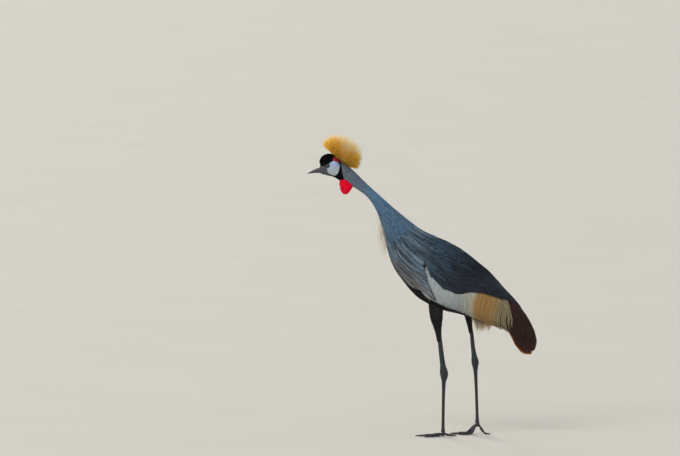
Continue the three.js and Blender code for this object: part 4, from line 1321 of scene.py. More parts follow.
# %% [markdown]
# ## White coverts
# The white patch is a wall of soft, broad feathers in four tiers, each shorter and narrower than
# the one below it, which is how coverts really grow. One material wears white, cream, gold and
# straw by its place in the fall: separate materials would flicker where two layers share a place.

# %% White coverts
# Thin white barbs let light in and out again: the patch glows a little and has no hard shadows.
wing_coat = plumage("hanging_wing_plumes", ("#bcc5c5", "#d0d8d6"), ("#c9bd9c", "#ddd3b2"),
                    ("#a06c30", "#e2b068"), ("#6f5c38", "#d6c592"), streak=2.5, contrast=0.45,
                    borders=((0, 0.4), (0.4, 0.6), (0.6, 1)), root=0.95, Roughness=0.75,
                    **see_through(3, 2.6, 2, 0.5))
LIVERY = ((4.2, 6.1, 6.75, 9.2, 10.8), (0, 0.4, 0.6, 0.6, 1))  # place in the fall, zone


def layer(count, low, high, first, last, lift, wide):
    """One layer: where along the wing, which part of the fall, how high, how wide."""
    at = mix(low, high, (np.arange(count) + 0.5 + jitter(count, 0.4)) / count)
    return [at] + [rng.uniform(*span, count) for span in (first, last, lift, wide)]


def wing_layers(name, sign, layers, slack=1.2, **shape):
    """Layers of hanging feathers as one piece; slack is how deep the roots lie under the tips."""
    at, first, last, high, wide = np.concatenate([layer(*row) for row in layers], 1)
    high = high - 2.5 * smooth(2.2, 0.8, at) * smooth(0.95, 0.8, last)
    line, out, root_at = falling(HANGING, at, first, last, sign, 8, (high - slack, high))
    zone = np.interp(at + jitter(len(at), 1) * mix(0.1, 0.45, smooth(7, 9, at)), *LIVERY)
    feathers(name, wing_coat, line, out, wide, 0.25, root_at, zone=zone, slot="wing_plumage",
             **shape)


for name, sign in SIDES.items():
    wing_layers(f"coverts_{name}", sign, [
        (110, 0, 6.9, (0, 0.05), (0.96, 1.0), (-3.3, -3.1), (8, 9.5)),
        (170, 0, 6.8, (0, 0.3), (0.88, 0.985), (-2.7, -2.4), (5, 7)),
        (260, 0, 6.7, (0, 0.3), (0.78, 0.985), (-2.3, -1.9), (2.6, 4.4)),
        (90, 5.9, 7.4, (0.02, 0.4), (0.7, 0.98), (-1.8, -1.2), (1.6, 3)),
    ], section=VANE, tip=0.4, cup=0.01, replaces=(f"wing_{name}",))

# %% [markdown]
# ## Gold and straw plumes
# The innermost wing feathers have loose barbs that fray into long gold hair and hang over the
# maroon ones. They are narrow locks in the same fall, with a few straw strands lying free on top.
# The same function serves, with thinner feathers and more slack at their roots.

# %% Gold and straw plumes
for name, sign in SIDES.items():
    wing_layers(f"plumes_{name}", sign, [
        (80, 6.9, 10.4, (0, 0.05), (0.95, 1.0), (-3.2, -2.9), (6, 8)),
        (520, 6.3, 10.4, (0, 0.3), (0.8, 1.0), (-2.7, -1.9), (1.6, 3)),
        (60, 5.7, 6.6, (0.1, 0.4), (0.8, 0.98), (-1.9, -1.4), (1.2, 2.2)),
        (400, 6.3, 10.6, (0, 0.5), (0.6, 0.98), (-2.0, -1.2), (1.2, 2.2)),
    ], tip=0.45)
    wing_layers(f"straw_{name}", sign, [
        (34, 10.4, 10.95, (0.1, 0.3), (0.8, 1.02), (1.2, 2.6), (1.3, 2.4)),
        (30, 11.25, 11.8, (0.1, 0.3), (0.85, 1.04), (1.4, 3.0), (1.3, 2.4)),
        (14, 12.1, 12.5, (0.14, 0.35), (0.6, 0.98), (1.4, 3.0), (1.2, 2.0)),
        (12, 12.75, 13, (0.05, 0.2), (0.75, 1.0), (1.6, 3.2), (1.2, 2.0)),
        (14, 10.6, 12.9, (0.14, 0.35), (0.4, 0.9), (1.2, 3.0), (1.0, 1.8)),
    ], slack=4.5, tip=0.45)

# %% [markdown]
# ## Loose plumes under the far wing
# A handful of plumes, painted pale cream for the sun that shines through them, has slipped from the
# far wing and hangs below the belly. They leave the fall of that wing and then drop straight: a
# curve with one bend from root to tip draws each.

# %% Loose plumes
DROP = ((0, 0.16, 0.24, 0.5, 0.72, 0.9, 1), (398, 378, 358, 348, 350, 356, 368))  # rank, tip in mm
n = 200
rank = (np.arange(n) + rng.random(n)) / n
near, out, root_at = falling(HANGING, mix(6.0, 9.6, rank), rng.uniform(0.2, 0.66, n),
                             rng.uniform(0.68, 0.82, n), RIGHT, 2, (-3, rng.uniform(-1, 1.5, n)))
drop = np.interp(rank, *DROP) + 26 * rng.random(n) ** 1.6
tips = xyz(mix(168, 243, rank) + jitter(n, 4), near[:, 2, 1] + rng.uniform(0, 12, n), drop)
u = np.linspace(0, 1, 9)[None, :, None]
line = near[:, :1] * (1 - u) ** 2 + near[:, 2:] * 2 * u * (1 - u) + tips[:, None] * u**2
out = np.broadcast_to(unit(np.array([0, 1.0, 0.15])), line.shape)
# Thin barbs take in the light behind them, and their pale cream colour is painted glow from it.
loose_coat = plumage("loose_plumes_painted_glow", ("#ffe2a8", "#fff4d6"), streak=2.0, contrast=0.8,
                     root=1.0, Roughness=0.6, **see_through(6, 5, 4, 0.6))
feathers("loose_plumes", loose_coat, line, out, rng.uniform(1.1, 2.2, n), 0.3, root_at,
         slot="wing_plumage")

# %% [markdown]
# ## Maroon secondaries
# Behind the plumes droop the broad maroon wing feathers. Their vanes are stiff and overlap like
# slates, with the shaft side up. A plain curved sheet could stand for all of them, but the torn
# gaps between the vanes are what the eye takes for a wing.

# %% The maroon vanes
# Stiff, hooked vanes with a low sheen: deep brown red that turns to black in the shade.
maroon_coat = plumage("maroon_secondaries", ("#1c100f", "#472d28"), ("#22130f", "#50322b"),
                      streak=5.0, slant=0.7, contrast=0.9, root=0.8, Roughness=0.5)
PER_TIER = 17


def maroon_vanes(name, sign):
    """Two tiers of vanes, the upper one shorter."""
    n = 2 * PER_TIER
    at = 6 * np.tile((np.arange(PER_TIER) + 0.5) / PER_TIER, 2) + jitter(n, 0.08)
    last = np.repeat([0.99, 0.86], PER_TIER) + jitter(n, 0.012)
    high = np.repeat([-2.4, -0.6], PER_TIER)
    line, out, root_at = falling(MAROON, at, 0.02, last, sign, 14, (high - 7, high), bow=0)
    feathers(f"secondaries_{name}", maroon_coat, line, out, rng.uniform(8.5, 11, n), 0.7, root_at,
             section=VANE, zone=rng.random(n), tip=0.3, cup=0.12, roll=sign * 0.12, ragged=0.1,
             slot="wing_plumage")


print("vanes on each side:", 2 * PER_TIER)

# %% [markdown]
# ## Barbs and chestnut rims
# Close up the vanes are covered with loose barbs, and along their lower edge runs a chestnut rim,
# painted bright orange for the sun that shines through it. A painted border would stay flat, so
# thin locks of its colour stand past the edge.

# %% Barbs, rims and both wings
# Chestnut barbs that let some light through; the bright orange of their rim is painted glow from
# the sun behind them.
rim_coat = plumage("chestnut_rims_painted_glow", ("#251512", "#4c2d26"), ("#ff4e06", "#ff8430"), streak=3.0,
                   contrast=0.9, root=0.8, Roughness=0.55, **see_through(4, 1.2, 0.4, 0.8))
BELOW_MAROON = np.vstack([MAROON, (13.5, 112, 15.1, 166)])


def loose_barbs(name, sign, n=900):
    at = 6 * rng.random(n)
    first = rng.uniform(0.1, 0.8, n)
    last = np.minimum(first + rng.uniform(0.15, 0.3, n), 0.985)
    lift = (-1.6, rng.uniform(-0.6, 1.0, n))
    line, out, root_at = falling(MAROON, at, first, last, sign, 4, lift, bow=0)
    # Barbs along the lower edge take the painted orange glow.
    rim = smooth(0.93, 0.985, last) * smooth(2.4, 3.4, at)
    feathers(f"barbs_{name}", rim_coat, line, out, rng.uniform(0.8, 1.6, n), 0.35, root_at,
             zone=rim, slot="wing_plumage")


# Locks standing past the lower edge, all in the painted orange glow.
def glowing_rim(name, sign, n=600):
    at = 2.4 + 4.6 * rng.random(n) ** 0.8
    first = rng.uniform(0.86, 0.95, n)
    last = rng.uniform(1.02, 1.1, n) + 0.03 * smooth(4, 6, at)
    lift = (-2, rng.uniform(-1.5, 1.6, n))
    line, out, root_at = falling(BELOW_MAROON, at, first, last, sign, 4, lift, bow=0)
    feathers(f"rims_{name}", rim_coat, line, out, rng.uniform(0.8, 1.5, n), 0.35, root_at,
             tint=0.5 + 0.5 * rng.random(n), zone=1.0, tip=0.6, slot="wing_plumage")


for name, sign in SIDES.items():
    maroon_vanes(name, sign)
    loose_barbs(name, sign)
    glowing_rim(name, sign)

# %% [markdown]
# ## Primaries
# The long black flight feathers are folded away under the secondaries, and only their edges are
# ever seen. Seven on each side, laid along the body, are enough.

# %% Primaries
# Melanin makes black vanes hard and a little glossy, so their edges catch a thin line of light.
black_coat = plumage("black_primaries", ("#08090b", "#202227"), ("#0d0d10", "#2c2e33"),
                     streak=5.0, slant=0.7, root=0.8, Roughness=0.45)
k = np.arange(14)
side = np.where(k % 2, LEFT, RIGHT)
rank = (k // 2) / 6
station, degrees = mix(9.6, 10.8, rank), mix(122, 104, rank)
line, out = lines_on_body(station, mix(2.6, 3.2, rank), degrees, side, 9, (0, 0),
                          (-9, mix(-5, -9, rank)), end=mix(168, 160, rank))
feathers("primaries", black_coat, line, out, 8, 0.7, unwrap(station, degrees, side),
         section=VANE, tip=0.42, cup=0.1, ragged=0.08, slot="tail_black")

# %% [markdown]
# ## The tail
# Twelve black feathers fold into a narrow fan under the secondaries, with soft coverts at their
# base. They run along the middle of the body, so their line is read halfway from back to belly.

# %% Tail feathers and their coverts
across = (np.arange(12) - 5.5) / 5.5
u = np.linspace(0, 1, 11)[None]
station = mix(13.6, 16.9 - 0.5 * np.abs(across)[:, None], u)
back, way = on_body(0, station, 0, LEFT)
centre = (back + on_body(0, station, 180, LEFT)[0]) / 2
line = centre + way * (3 - 6 * np.abs(across))[:, None, None]
line[..., 1] = across[:, None] * mix(9, 15, np.sin(np.pi * u * 0.8)) * (1 - 0.3 * u)
feathers("tail_feathers", black_coat, line, way, 7, 0.8,
         unwrap(station[:, 0], np.abs(across) * 40, np.sign(across)), section=VANE, tip=0.33,
         cup=0.08, ragged=0.08, slot="tail_black", replaces=("tail",))
station, degrees, side = spread(1500, (12.4, 15.2), (0, 180))
n = len(station)
line, out = lines_on_body(station, rng.uniform(0.7, 1.1, n), degrees, side, 4,
                          (1.0, rng.uniform(0.35, 0.8, n)))
feathers("tail_coverts", black_coat, line, out, rng.uniform(3, 4.5, n), 0.5,
         unwrap(station, degrees, side), zone=rng.random(n), tip=0.45, slot="tail_black")

# %% [markdown]
# ## Thigh feathers
# Short dark feathers hang down the upper leg like a stocking and end a little above the heel joint.
# The leg has no stations, so they grow from its own drawing, turned by the golden angle from one to
# the next, which leaves neither rows nor gaps.

# %% Thigh feathers
GOLDEN = 2.39996  # radians
THIGH_ENDS = {LEFT: 0.292, RIGHT: 0.275}  # share of the leg
thigh = []
for sign, end_share in THIGH_ENDS.items():
    n = 1500
    share = (np.arange(n) + rng.random(n)) / n * end_share
    down = share / end_share
    angle = (np.arange(n) * GOLDEN) % (2 * np.pi)
    line, ahead = leg_line(sign, share), leg_line(sign, share + 0.02)
    c, s = np.cos(angle), np.sin(angle)
    roots = xyz(line[:, 0] + line[:, 2] * c, sign * HIP + line[:, 3] * s, line[:, 1])
    lay = unit(xyz(ahead[:, 0] - line[:, 0], 0, ahead[:, 1] - line[:, 1]))
    lay = lay + 0.06 * rng.normal(size=(n, 3))
    spine, out = grown(roots, xyz(c, s, 0), lay, mix(26, 9, down) * rng.uniform(0.8, 1.1, n), 3,
                       mix(0.14, 0.05, down)[:, None, None], 0.75)
    place = [0.02 + down * 0.45 + (sign > 0) * 0.5, angle / (2 * np.pi) * 0.96 + 0.02]
    thigh.append((spine, out, np.stack(place, 1)))
spine, out, places = (np.concatenate(part) for part in zip(*thigh))
# Short down-like barbs: a dusty black without any shine beside the horny shin.
thigh_coat = plumage("thigh_plumage", ("#0b0d10", "#23272b"), streak=3.0, contrast=0.9,
                     Roughness=0.7)
feathers("thigh_plumage", thigh_coat, spine, out, 2.2, 0.4, places)

# %% [markdown]
# ## The crest
# Every bristle of the crest is a bare, twisted shaft. They spread from a low ridge on the nape in a
# round fan, shorter in front and behind. Hair particles would be the usual way; real shafts with
# three sides cost little more and stay with the model.

# %% The fan of bristles
CREST_ROOT = np.array([-284.0, 0, 959.0])
LEAN = math.radians(66)
LONGEST = 104.0
n = 2600
ring = np.sqrt((np.arange(n) + 0.5) / n)
turn = np.arange(n) * GOLDEN
fx, fy = ring * np.cos(turn), ring * np.sin(turn)
fore_tilt = np.radians(np.where(fx > 0, 71, 73)) * fx
side_tilt = math.radians(74) * fy
tilt = np.hypot(fore_tilt, side_tilt)
axis = np.array([math.cos(LEAN), 0, math.sin(LEAN)])
ahead = np.array([-math.sin(LEAN), 0, math.cos(LEAN)])
way = axis * np.cos(tilt)[:, None] + ahead * (np.sin(tilt) * fore_tilt / tilt)[:, None]
way[:, 1] += np.sin(tilt) * side_tilt / tilt
way = unit(way + rng.normal(0, 0.035, (n, 3)))
short = np.where(fx < 0, 0.62 * np.abs(fx) ** 1.35, 0.27 * np.abs(fx) ** 2.2)
length = LONGEST * (1 - short) * (1 - 0.1 * fy**2) * (1 - 0.32 * rng.random(n) ** 1.6)
u = np.linspace(0, 1, 6)[None, :, None]
curl = rng.normal(0, 2.4, (n, 1, 3)) * np.sin(np.pi * u * 1.6) * u
sag = np.array([0, 0, 2.5]) * np.sin(np.pi * u)
roots = CREST_ROOT + np.stack([-19 * fx, 9 * fy, 18 * fx], 1)
line = roots[:, None] + way[:, None] * length[:, None, None] * u + curl + sag
print("bristles:", n, "longest", round(float(length.max()), 1), "mm")

# %% [markdown]
# ## Gold, straw and brown
# The bristles are gold at the front and straw above, and brown at the root, where they shade each
# other. Each bristle gets one place between those liveries, with some chance in it, since a smooth
# run of colour over the fan would look like a painted ball.

# %% The crest's colours
BRISTLE = [(-0.87, -0.5), (0, 1), (0.87, -0.5)]
pale = np.exp(-(((fx - 0.02 + jitter(n, 0.15)) / 0.27) ** 2))
# Painted shade: bristles pointing sideways low in front turn browner, as if shaded at the fan's
# base.
sideways_shade = smooth(0.3, 0.9, np.abs(fy)) * smooth(0.75, 0.35, fx)
pale = np.clip(0.5 + 0.5 * pale - 0.36 * sideways_shade + jitter(n, 0.08), 0, 1)
# Painted glow: middle bristles get lighter tints than those at the front and rear of the fan.
painted_glow = rng.random(n) * 0.65 + 0.42 - 0.3 * smooth(-0.3, -0.9, fx) - 0.3 * smooth(0.5, 1, fx)
# Thin clear horn stained yellow: light runs through it, and painted glow in the tints makes the fan
# seem to shine by itself.
crest_coat = plumage("gold_bristles", ("#8a5c20", "#d69736"), ("#ff8e08", "#ffc636"),
                     ("#ffc650", "#fff2c4"), borders=((0, 0.5), (0.5, 1)), streak=2.0,
                     contrast=0.9, root=0.28, Roughness=0.55, Specular_IOR_Level=0.15,
                     **see_through(6, 4, 1.5, 0.5))
feathers("crest_bristles", crest_coat, line, np.broadcast_to([0, 1.0, 0.02], line.shape), 0.5, 0.5,
         np.stack([0.5 + 0.46 * fx, 0.5 + 0.46 * fy], 1), section=BRISTLE,
         tint=np.clip(painted_glow, 0, 1), zone=pale, tip=0.12, slot="crest_gold", replaces=("crest",))
ridge = piece_of("crest_ridge", [ball((26, 10.5, 8), CREST_ROOT, 0.8)], velvet)
settle(ridge, "crest_gold")

# %% [markdown]
# ## Eyes
# A real eye is a ball with a clear bulge over the iris. The iris of this bird is a very pale grey
# with a black pupil. Two shells, one clear and one painted, would be the film way; one ball is
# enough at this size, since its rings depend only on the angle from the middle of the pupil.

# %% Two eyes
BULGE = 0.045


def away(ways):
    """Degrees between arrows and the way that an eye looks."""
    return np.degrees(np.arccos(np.clip(ways, -1, 1)))


eye_parts = []
for sign in (LEFT, RIGHT):
    bm = bmesh.new()
    bmesh.ops.create_uvsphere(bm, u_segments=48, v_segments=32, radius=EYE_RADIUS)
    co = corners(bm)
    co *= (1 + BULGE * smooth(44, 10, away(co[:, 2] / EYE_RADIUS)))[:, None]
    turned = np.stack([co[:, 0], sign * co[:, 2], co[:, 1]], 1)
    eye_parts.append(moved(bm, turned + EYE * [1, sign, 1]))
eyes = piece_of("eyes", eye_parts)
co = corners_of(eyes)
facing = np.sign(co[:, 1])
off = away(unit(co - xyz(EYE[0], facing * EYE[1], EYE[2]))[:, 1] * facing)
keep_on(eyes.data, "off_axis", off / 90)
print("eyes:", len(eyes.data.polygons), "faces")

# %% [markdown]
# ## A wet eye
# The film of tears gives an eye its hard, small highlight, and without it the bird looks stuffed.
# Iris and pupil lie under that film, so they are matt, and a clear coat over them does the rest.

# %% The eye's material
# Tears and horn-clear skin over a matt iris: one sharp spark on a soft grey ring.
eye_glass, tree, shader = recipe("wet_eye", Roughness=0.3, Specular_IOR_Level=0.0, Coat_Weight=1.0,
                                 Coat_Roughness=0.03, Coat_IOR=1.376)
off_axis = node(tree, "ShaderNodeAttribute", out="Fac", attribute_name="off_axis")
rings = node(tree, "ShaderNodeValToRGB", {0: off_axis})
RINGS = [
    (0.0, "#010102"), (0.29, "#010102"), (0.31, "#3f474f"), (0.38, "#77838e"), (0.45, "#56616b"),
    (0.48, "#0c0d0f"), (1.0, "#0a0a0c"),
]
stops = rings.node.color_ramp.elements
while len(stops) < len(RINGS):
    stops.new(0.5)
for stop, (at, code) in zip(stops, RINGS):
    stop.position, stop.color = at, colour(code)
feed(tree, shader, {"Base Color": rings})
eyes.data.materials.append(eye_glass)
settle(eyes, "eye_glass", "eye_left", "eye_right")
print("rings of the eye:", len(stops))

# %% [markdown]
# ## The bill
# The bill is horn over bone: dark, stout and pointed, with a long nostril in a groove. It could be
# two modelled halves, but one arched cone cut in two along the mouth gives both the same line
# where they meet. Nostril and groove are pressed in before the cut.

# %% Upper and lower bill
BILL_TIP, BILL_ROOT = np.array([-404.0, 0, 919.0]), np.array([-346.0, 0, 932.0])
NOSTRIL, GROOVE = (-374, 6.5, 930.6, 0.2, 1.5), (-366, 14, 931.5, 0.22, 3.2)


def bill_place(share, angle):
    share = np.clip(share, 0, 1)
    left = np.maximum(1 - share, 0.0008) ** 0.8
    at = BILL_ROOT + (BILL_TIP - BILL_ROOT) * share[:, None]
    at = at + np.array([0, 0, 2.4]) * np.sin(np.pi * share)[:, None]
    c, s = np.cos(angle), np.sin(angle)
    high = np.where(c > 0, 13, 12) * left * c * np.where(c > 0, 1, 0.92)
    return at + np.stack([0 * s, 9 * left * s * (1 - 0.12 * np.abs(c)), high], 1)


def dent(co, x, long, z, slope, high, hinge):
    """1 along a slanting hollow and 0 away from it."""
    off = (co[2] - z + slope * (co[0] - hinge)) / high
    return math.exp(-(((co[0] - x) / long) ** 2) - off**2)


def bill_half(name, upper):
    bm = tube(64, 40, bill_place)
    for v in bm.verts:
        co = np.array(v.co) / MM
        slot, groove = dent(co, *NOSTRIL, -374), dent(co, *GROOVE, -370)
        v.co.y *= 1 - (0.35 * slot + 0.1 * groove) * upper
    normal = (BILL_TIP[2] - BILL_ROOT[2], 0, BILL_ROOT[0] - BILL_TIP[0])
    point = (BILL_ROOT + np.array([0, 0, -2 + (0.18 if upper else 0.12)])) * MM
    cut = bmesh.ops.bisect_plane(
        bm, geom=bm.verts[:] + bm.edges[:] + bm.faces[:], plane_co=point, plane_no=normal,
        clear_inner=upper, clear_outer=not upper)
    rim = [e for e in cut["geom_cut"] if isinstance(e, bmesh.types.BMEdge)]
    bmesh.ops.holes_fill(bm, edges=rim)
    if not upper:
        for v in bm.verts:
            v.co.y *= 0.93
    bmesh.ops.recalc_face_normals(bm, faces=bm.faces)
    half = piece_of(name, [bm])
    for polygon in half.data.polygons:
        along_cut = abs(polygon.normal.dot(normal)) < 57.5
        polygon.use_smooth = along_cut or len(polygon.vertices) < 8
    return half


print("bill:", round(float(np.linalg.norm(BILL_TIP - BILL_ROOT)), 1), "mm long")

# %% [markdown]
# ## Horn
# Horn grows in long fibres and wears pale at the tip and dark at the root, or the other way round
# as here. A plain grey would look like plastic; a noise stretched along the bill gives the fibres.

# %% The bill's material
# Worn, slightly oily horn: a broad dull gloss that breaks up along the fibres.
horn, tree, shader = recipe("bill_horn", Specular_IOR_Level=0.35, Coat_Weight=0.05,
                            Coat_Roughness=0.4)
place = node(tree, "ShaderNodeTexCoord", out="Object")
# Real fibres are a tenth of a mm wide, too fine to show, so they are drawn 1.4 mm wide.
fibre = (per_metre(16.6667), per_metre(1.42857), per_metre(1.42857))
fibre = node(tree, "ShaderNodeMapping", {"Vector": place, "Scale": fibre})
grain = node(tree, "ShaderNodeTexNoise", {"Vector": fibre, "Scale": 1.0, "Detail": 5.0})
along = node(tree, "ShaderNodeSeparateXYZ", {0: place})
worn = node(tree, "ShaderNodeMapRange", {0: along, 1: BILL_TIP[0] * MM, 2: -350 * MM})
dark, pale, streak = map(colour, ("#1e1c21", "#46434b", "#5d5963"))
base = node(tree, "ShaderNodeMix", {0: worn, 6: dark, 7: pale}, **COLOUR_MIX)
tone = node(tree, "ShaderNodeMix", {0: grain, 6: base, 7: streak}, **COLOUR_MIX)
bumpy = {"Strength": 0.3, "Distance": 0.3 * MM, "Height": grain}
feed(tree, shader, {
    "Base Color": node(tree, "ShaderNodeMix", {0: 0.45, 6: base, 7: tone}, **COLOUR_MIX),
    "Roughness": node(tree, "ShaderNodeMapRange", {0: grain, 3: 0.42, 4: 0.6}),
    "Normal": node(tree, "ShaderNodeBump", bumpy),
})
for name, upper in (("bill_top", True), ("bill_under", False)):
    half = bill_half(name, upper)
    half.data.materials.append(horn)
    settle(half, "bill_horn", "bill_upper" if upper else "bill_lower")
    print(name, len(half.data.polygons), "faces")

# %% [markdown]
# ## The wattle
# Two folds of bare red skin hang side by side under the throat, with shallow creases down each
# lobe. Cloth could be draped for them; a drawn outline with a wavy section is closer to the photo
# and has no pinholes.

# %% The lobes
WATTLE = np.array([  # height, front and rear x, half thickness
    (908, -283, -262, 3.5), (897, -287, -258, 6), (886, -287.5, -248.5, 7.5), (877, -287, -244, 8),
    (867, -285, -247.5, 8), (858, -282, -254, 7.2), (851, -277.5, -260, 6),
    (846.5, -273, -265, 4),
], float)


def lobe(side):
    def place(share, angle):
        high, front, rear, thick = through(WATTLE, share * (len(WATTLE) - 1)).T
        close = np.sqrt(np.clip((1 - share) / 0.06, 0, 1)) * np.sqrt(np.clip(share / 0.05, 0.1, 1))
        c, s = np.cos(angle), np.sin(angle)
        crease = 1 + 0.16 * np.sin(5 * c + 2 + side) + 0.07 * np.sin(14 * c + 5 * share + side)
        crease = crease + 0.05 * np.sin(23 * share + 4 * c)
        y = side * 6 + thick * close * s * crease + side * 3 * np.sin(np.pi * share) * share
        wavy = 1 + 0.03 * np.sin(19 * share + side)
        x = (front + rear) / 2 + (rear - front) / 2 * close * c * wavy - 3.5 * (side > 0)
        return np.stack([x, y, high], 1)
    return tube(64, 56, place)


wattle = piece_of("wattle_folds", [lobe(LEFT), lobe(RIGHT)])
print("wattle:", len(wattle.data.polygons), "faces")

# %% [markdown]
# ## Red skin
# Blood just under a thin skin makes the wattle glow. A brighter red alone would look painted, so
# the shader lets red light wander some millimetres and stops green and blue at once.

# %% The wattle's material
# Thin skin full of blood: soft red without hard shadows, brightest where it is thin.
flesh, tree, shader = recipe("wattle_skin", Specular_IOR_Level=0.1,
                             **see_through(4, 0.6, 0.6, 0.35))
place = node(tree, "ShaderNodeTexCoord", out="Object")
veins = node(tree, "ShaderNodeTexNoise", {"Vector": place, "Scale": per_metre(6.25), "Detail": 4.0})
grit = node(tree, "ShaderNodeTexVoronoi", {"Vector": place, "Scale": per_metre(1.42857)})
share = node(tree, "ShaderNodeMapRange", {0: veins, 1: 0.3, 2: 0.7})
deep, bright = colour("#b8001f"), colour("#ff0036")
bumpy = {"Strength": 0.35, "Distance": 0.5 * MM, "Height": grit}
feed(tree, shader, {
    "Base Color": node(tree, "ShaderNodeMix", {0: share, 6: deep, 7: bright}, **COLOUR_MIX),
    "Roughness": node(tree, "ShaderNodeMapRange", {0: veins, 3: 0.4, 4: 0.6}),
    "Normal": node(tree, "ShaderNodeBump", bumpy),
})
wattle.data.materials.append(flesh)
settle(wattle, "wattle_skin", "wattle")
print("wattle finish:", flesh.name)

# %% [markdown]
# ## Scutes
# The front of a crane's leg and the tops of its toes are armoured with overlapping plates. A bump
# pattern would leave the outline smooth. Each plate is a thin curved vane, so the feather function
# can make them all: a line down the leg, wide enough to wrap half round it.

# %% Scutes
OVERLAP = 0.35  # how much of a plate lies over the next one
PLATE_MM = 3.4
scutes = []


def plate_shares(count, starts, ends):
    """Each plate's own stretch of a leg or a toe."""
    u = np.linspace(0, 1, 4)[None]
    return mix(starts, ends, (np.arange(count)[:, None] + (1 + OVERLAP) * u) / count)


def plates(line, out, wide, share, side, row):
    at = share[:, 0] * 0.45 + 0.02 + (side > 0) * 0.5
    place = np.stack([at, np.full(len(share), row)], 1)
    scutes.append((line, np.broadcast_to(out, line.shape), wide, place))


for side in (LEFT, RIGHT):
    for turn in (-1.05, 0, 1.05):
        share = plate_shares(60, 0.33, 0.955)
        x, z, fore, wide = np.moveaxis(leg_line(side, share), -1, 0)
        way = np.array([-math.cos(turn), math.sin(turn), 0])
        reach = np.stack([fore * 0.97, wide * 0.97, fore * 0], -1)
        rise = np.linspace(-0.35, 0.3, 4)[None, :, None]
        line = xyz(x, side * HIP, z) + way * (reach + rise)
        plates(line, way, 0.6 * wide[:, 0], share, side, 0.3 + 0.1 * turn)
    for k, name in enumerate(TOES):
        share = plate_shares(int(TOES[name][1] / PLATE_MM), 0.12, 0.97)
        middle, radius = toe_line(side, name, share), toe_radius(name, share)
        along = unit(np.gradient(middle, axis=1))
        up = unit(np.cross(along, np.cross([0, 0, 1.0], along)))
        high = radius * 0.97 + np.linspace(-0.3, 0.25, 4)[None]
        plates(middle + up * high[..., None], up, 0.78 * radius[:, 0], share, side, 0.55 + 0.1 * k)
lines, outs, wides, places = (np.concatenate(part) for part in zip(*scutes))
# Dry horn plates with dark seams: small dull lights, one to a plate, down the shin.
scute_coat = plumage("leg_scutes", ("#24262a", "#4a4d52"), streak=2.0, contrast=0.8, root=0.6,
                     Roughness=0.55)
feathers("scutes", scute_coat, lines, outs, wides, 0.35, places, section=VANE, tip=0.28, cup=0.42,
         slot="leg_scale")

# %% [markdown]
# ## Claws
# Each toe ends in a blunt, worn claw of the same horn as the bill. It starts inside the toe, rises
# a little and comes down to the floor. One tube for each is all that such a small thing needs.

# %% Claws
CLAW_LONG, CLAW_WIDE, CLAW_HIGH = 15.6, 2.3, 2.7


def claw_place(side, name):
    root, near = toe_line(side, name, np.array([0.985, 0.965]))
    way = unit((root - near) * [1, 1, 0])
    across = np.array([-way[1], way[0], 0])

    def place(share, angle):
        left = np.sqrt(np.clip(1 - share**1.6, 0.0004, 1))
        at = root + way * (CLAW_LONG * share)[:, None]
        at[:, 2] = mix(root[2] + 0.4, 0.9, share) + 1.3 * np.sin(np.pi * share)
        at[:, 2] = np.maximum(at[:, 2], 0.2)
        up = (CLAW_HIGH * left * np.sin(angle))[:, None] * [0, 0, 1.0]
        made = at + across * (CLAW_WIDE * left * np.cos(angle))[:, None] + up
        made[:, 2] = np.maximum(made[:, 2], 0.02)
        return made
    return place


# Claw horn, polished by walking: a small bright line along each ridge.
claw_horn, tree, shader = recipe("claw_horn", Roughness=0.35, Coat_Weight=0.1)
place = node(tree, "ShaderNodeTexCoord", out="Object")
wear = {"Vector": place, "Scale": per_metre(3.84615), "Detail": 4.0}
worn = node(tree, "ShaderNodeTexNoise", wear)
bumpy = {"Strength": 0.25, "Distance": 0.3 * MM, "Height": worn}
dark, pale = colour("#121110"), colour("#3a3631")
feed(tree, shader, {
    "Base Color": node(tree, "ShaderNodeMix", {0: worn, 6: dark, 7: pale}, **COLOUR_MIX),
    "Normal": node(tree, "ShaderNodeBump", bumpy),
})
claw_parts = [tube(16, 14, claw_place(side, name)) for side in (LEFT, RIGHT) for name in TOES]
claws = piece_of("claws", claw_parts, claw_horn)
settle(claws, "claw_horn", *[f"claw_{side}_{name}" for side in SIDES for name in TOES])
print("claws:", len(claws.data.polygons), "faces; coat:", sum(coat.values()), "triangles")

# %% [markdown]
# ## The floor
# A museum would show the bird on a pale, quiet plinth. A plain disc so wide that its edge is never
# seen does the same, and a very faint mottle keeps it from looking like an empty page.

# %% Floor
bm = bmesh.new()
bmesh.ops.create_circle(bm, cap_ends=True, segments=96, radius=180)
# Matt plaster: no gloss at all, so nothing but a soft shadow lies under the feet.
plaster, tree, shader = recipe("pale_plaster", Roughness=0.9, Specular_IOR_Level=0.1)
place = node(tree, "ShaderNodeTexCoord", out="Object")
mottle = node(tree, "ShaderNodeTexNoise", {"Vector": place, "Scale": 1.5, "Detail": 2.0})
dark, pale = colour("#c9c7c0"), colour("#cfcdc7")
feed(tree, shader, {
    "Base Color": node(tree, "ShaderNodeMix", {0: mottle, 6: dark, 7: pale}, **COLOUR_MIX),
})
floor = piece_of("floor", [bm], plaster, soft=False)
floor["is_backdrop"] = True
print("floor set")

# %% [markdown]
# ## Light
# Broad, soft lights show the shape without hard shadows. Suns with a wide angle are used, because
# unlike lamps they never stand in a picture from another side. One comes from behind, as in the
# photo, and lights the rim of the neck and the crest.

# %% Sky and suns
scene = bpy.context.scene
scene.view_settings.view_transform = "Standard"
world = bpy.data.worlds.new("studio")
scene.world = world
world.use_nodes = True
sky = world.node_tree.nodes["Background"].inputs
sky[0].default_value, sky[1].default_value = colour("#dfe6ee"), 0.55


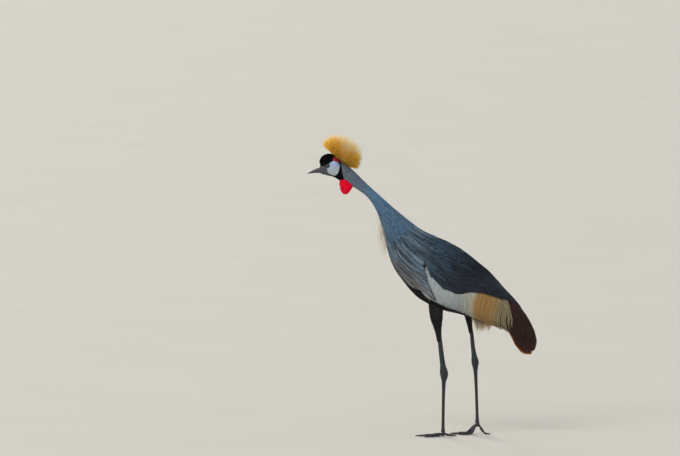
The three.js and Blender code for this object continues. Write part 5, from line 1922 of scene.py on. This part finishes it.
def facing_along(thing, way):
    """Turns a light or a camera so that it looks along an arrow."""
    thing.rotation_mode = "QUATERNION"
    thing.rotation_quaternion = Vector(way).to_track_quat("-Z", "Y")
    scene.collection.objects.link(thing)


for name, strength, degrees_wide, way, tone in (
    ("key", 1.6, 40, (35, 60, -55), "#fffaf2"),
    ("rim", 3.2, 16, (20, -60, -12), "#fff2dc"),
    ("fill", 0.3, 60, (-60, 40, -20), "#e8f0ff"),
):
    light = bpy.data.lights.new(name, "SUN")
    light.energy, light.angle, light.color = strength, math.radians(degrees_wide), colour(tone)[:3]
    facing_along(bpy.data.objects.new(name, light), way)
print("suns:", len(bpy.data.lights))

# %% [markdown]
# ## Camera
# The photo was taken from far away with a long lens, level with the bird, so its outline is almost
# flat. The camera looks along +Y from 30 m, a little above the horizon, and its width of view makes
# one pixel of the photo's frame 3.5 mm at the bird.

# %% The photo's view
PIXEL = 3.5
FRAME = (680, 456)
UNDER_BIRD = (422.5, 435.7)  # the pixel where the origin of the bird lies
DISTANCE = 30.0
RISE = math.radians(4)
camera = bpy.data.objects.new("camera", bpy.data.cameras.new("camera"))
camera.data.sensor_width = 36
camera.data.lens = DISTANCE / (FRAME[0] * PIXEL * MM) * camera.data.sensor_width
camera.data.clip_start, camera.data.clip_end = 0.1, 1000
x, z = (FRAME[0] / 2 - UNDER_BIRD[0]) * PIXEL, (UNDER_BIRD[1] - FRAME[1] / 2) * PIXEL
back = Vector((0, -math.cos(RISE), math.sin(RISE)))
camera.location = Vector((x * MM, 0, z * MM / math.cos(RISE))) + back * DISTANCE
facing_along(camera, -back)
scene.camera = camera
print("lens:", round(camera.data.lens, 1), "mm")

# %% [markdown]
# ## The size, and the end
# A model that others will use has to be as big as it claims. The box of all pieces is measured once
# more and printed beside the box of the solids.

# %% Measure and finish
made_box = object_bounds()
for axis_name, a, b, c, d in zip("xyz", *cad_box, *made_box):
    print(axis_name, "solids", round(a, 4), round(b, 4), "pieces", round(c, 4), round(d, 4))
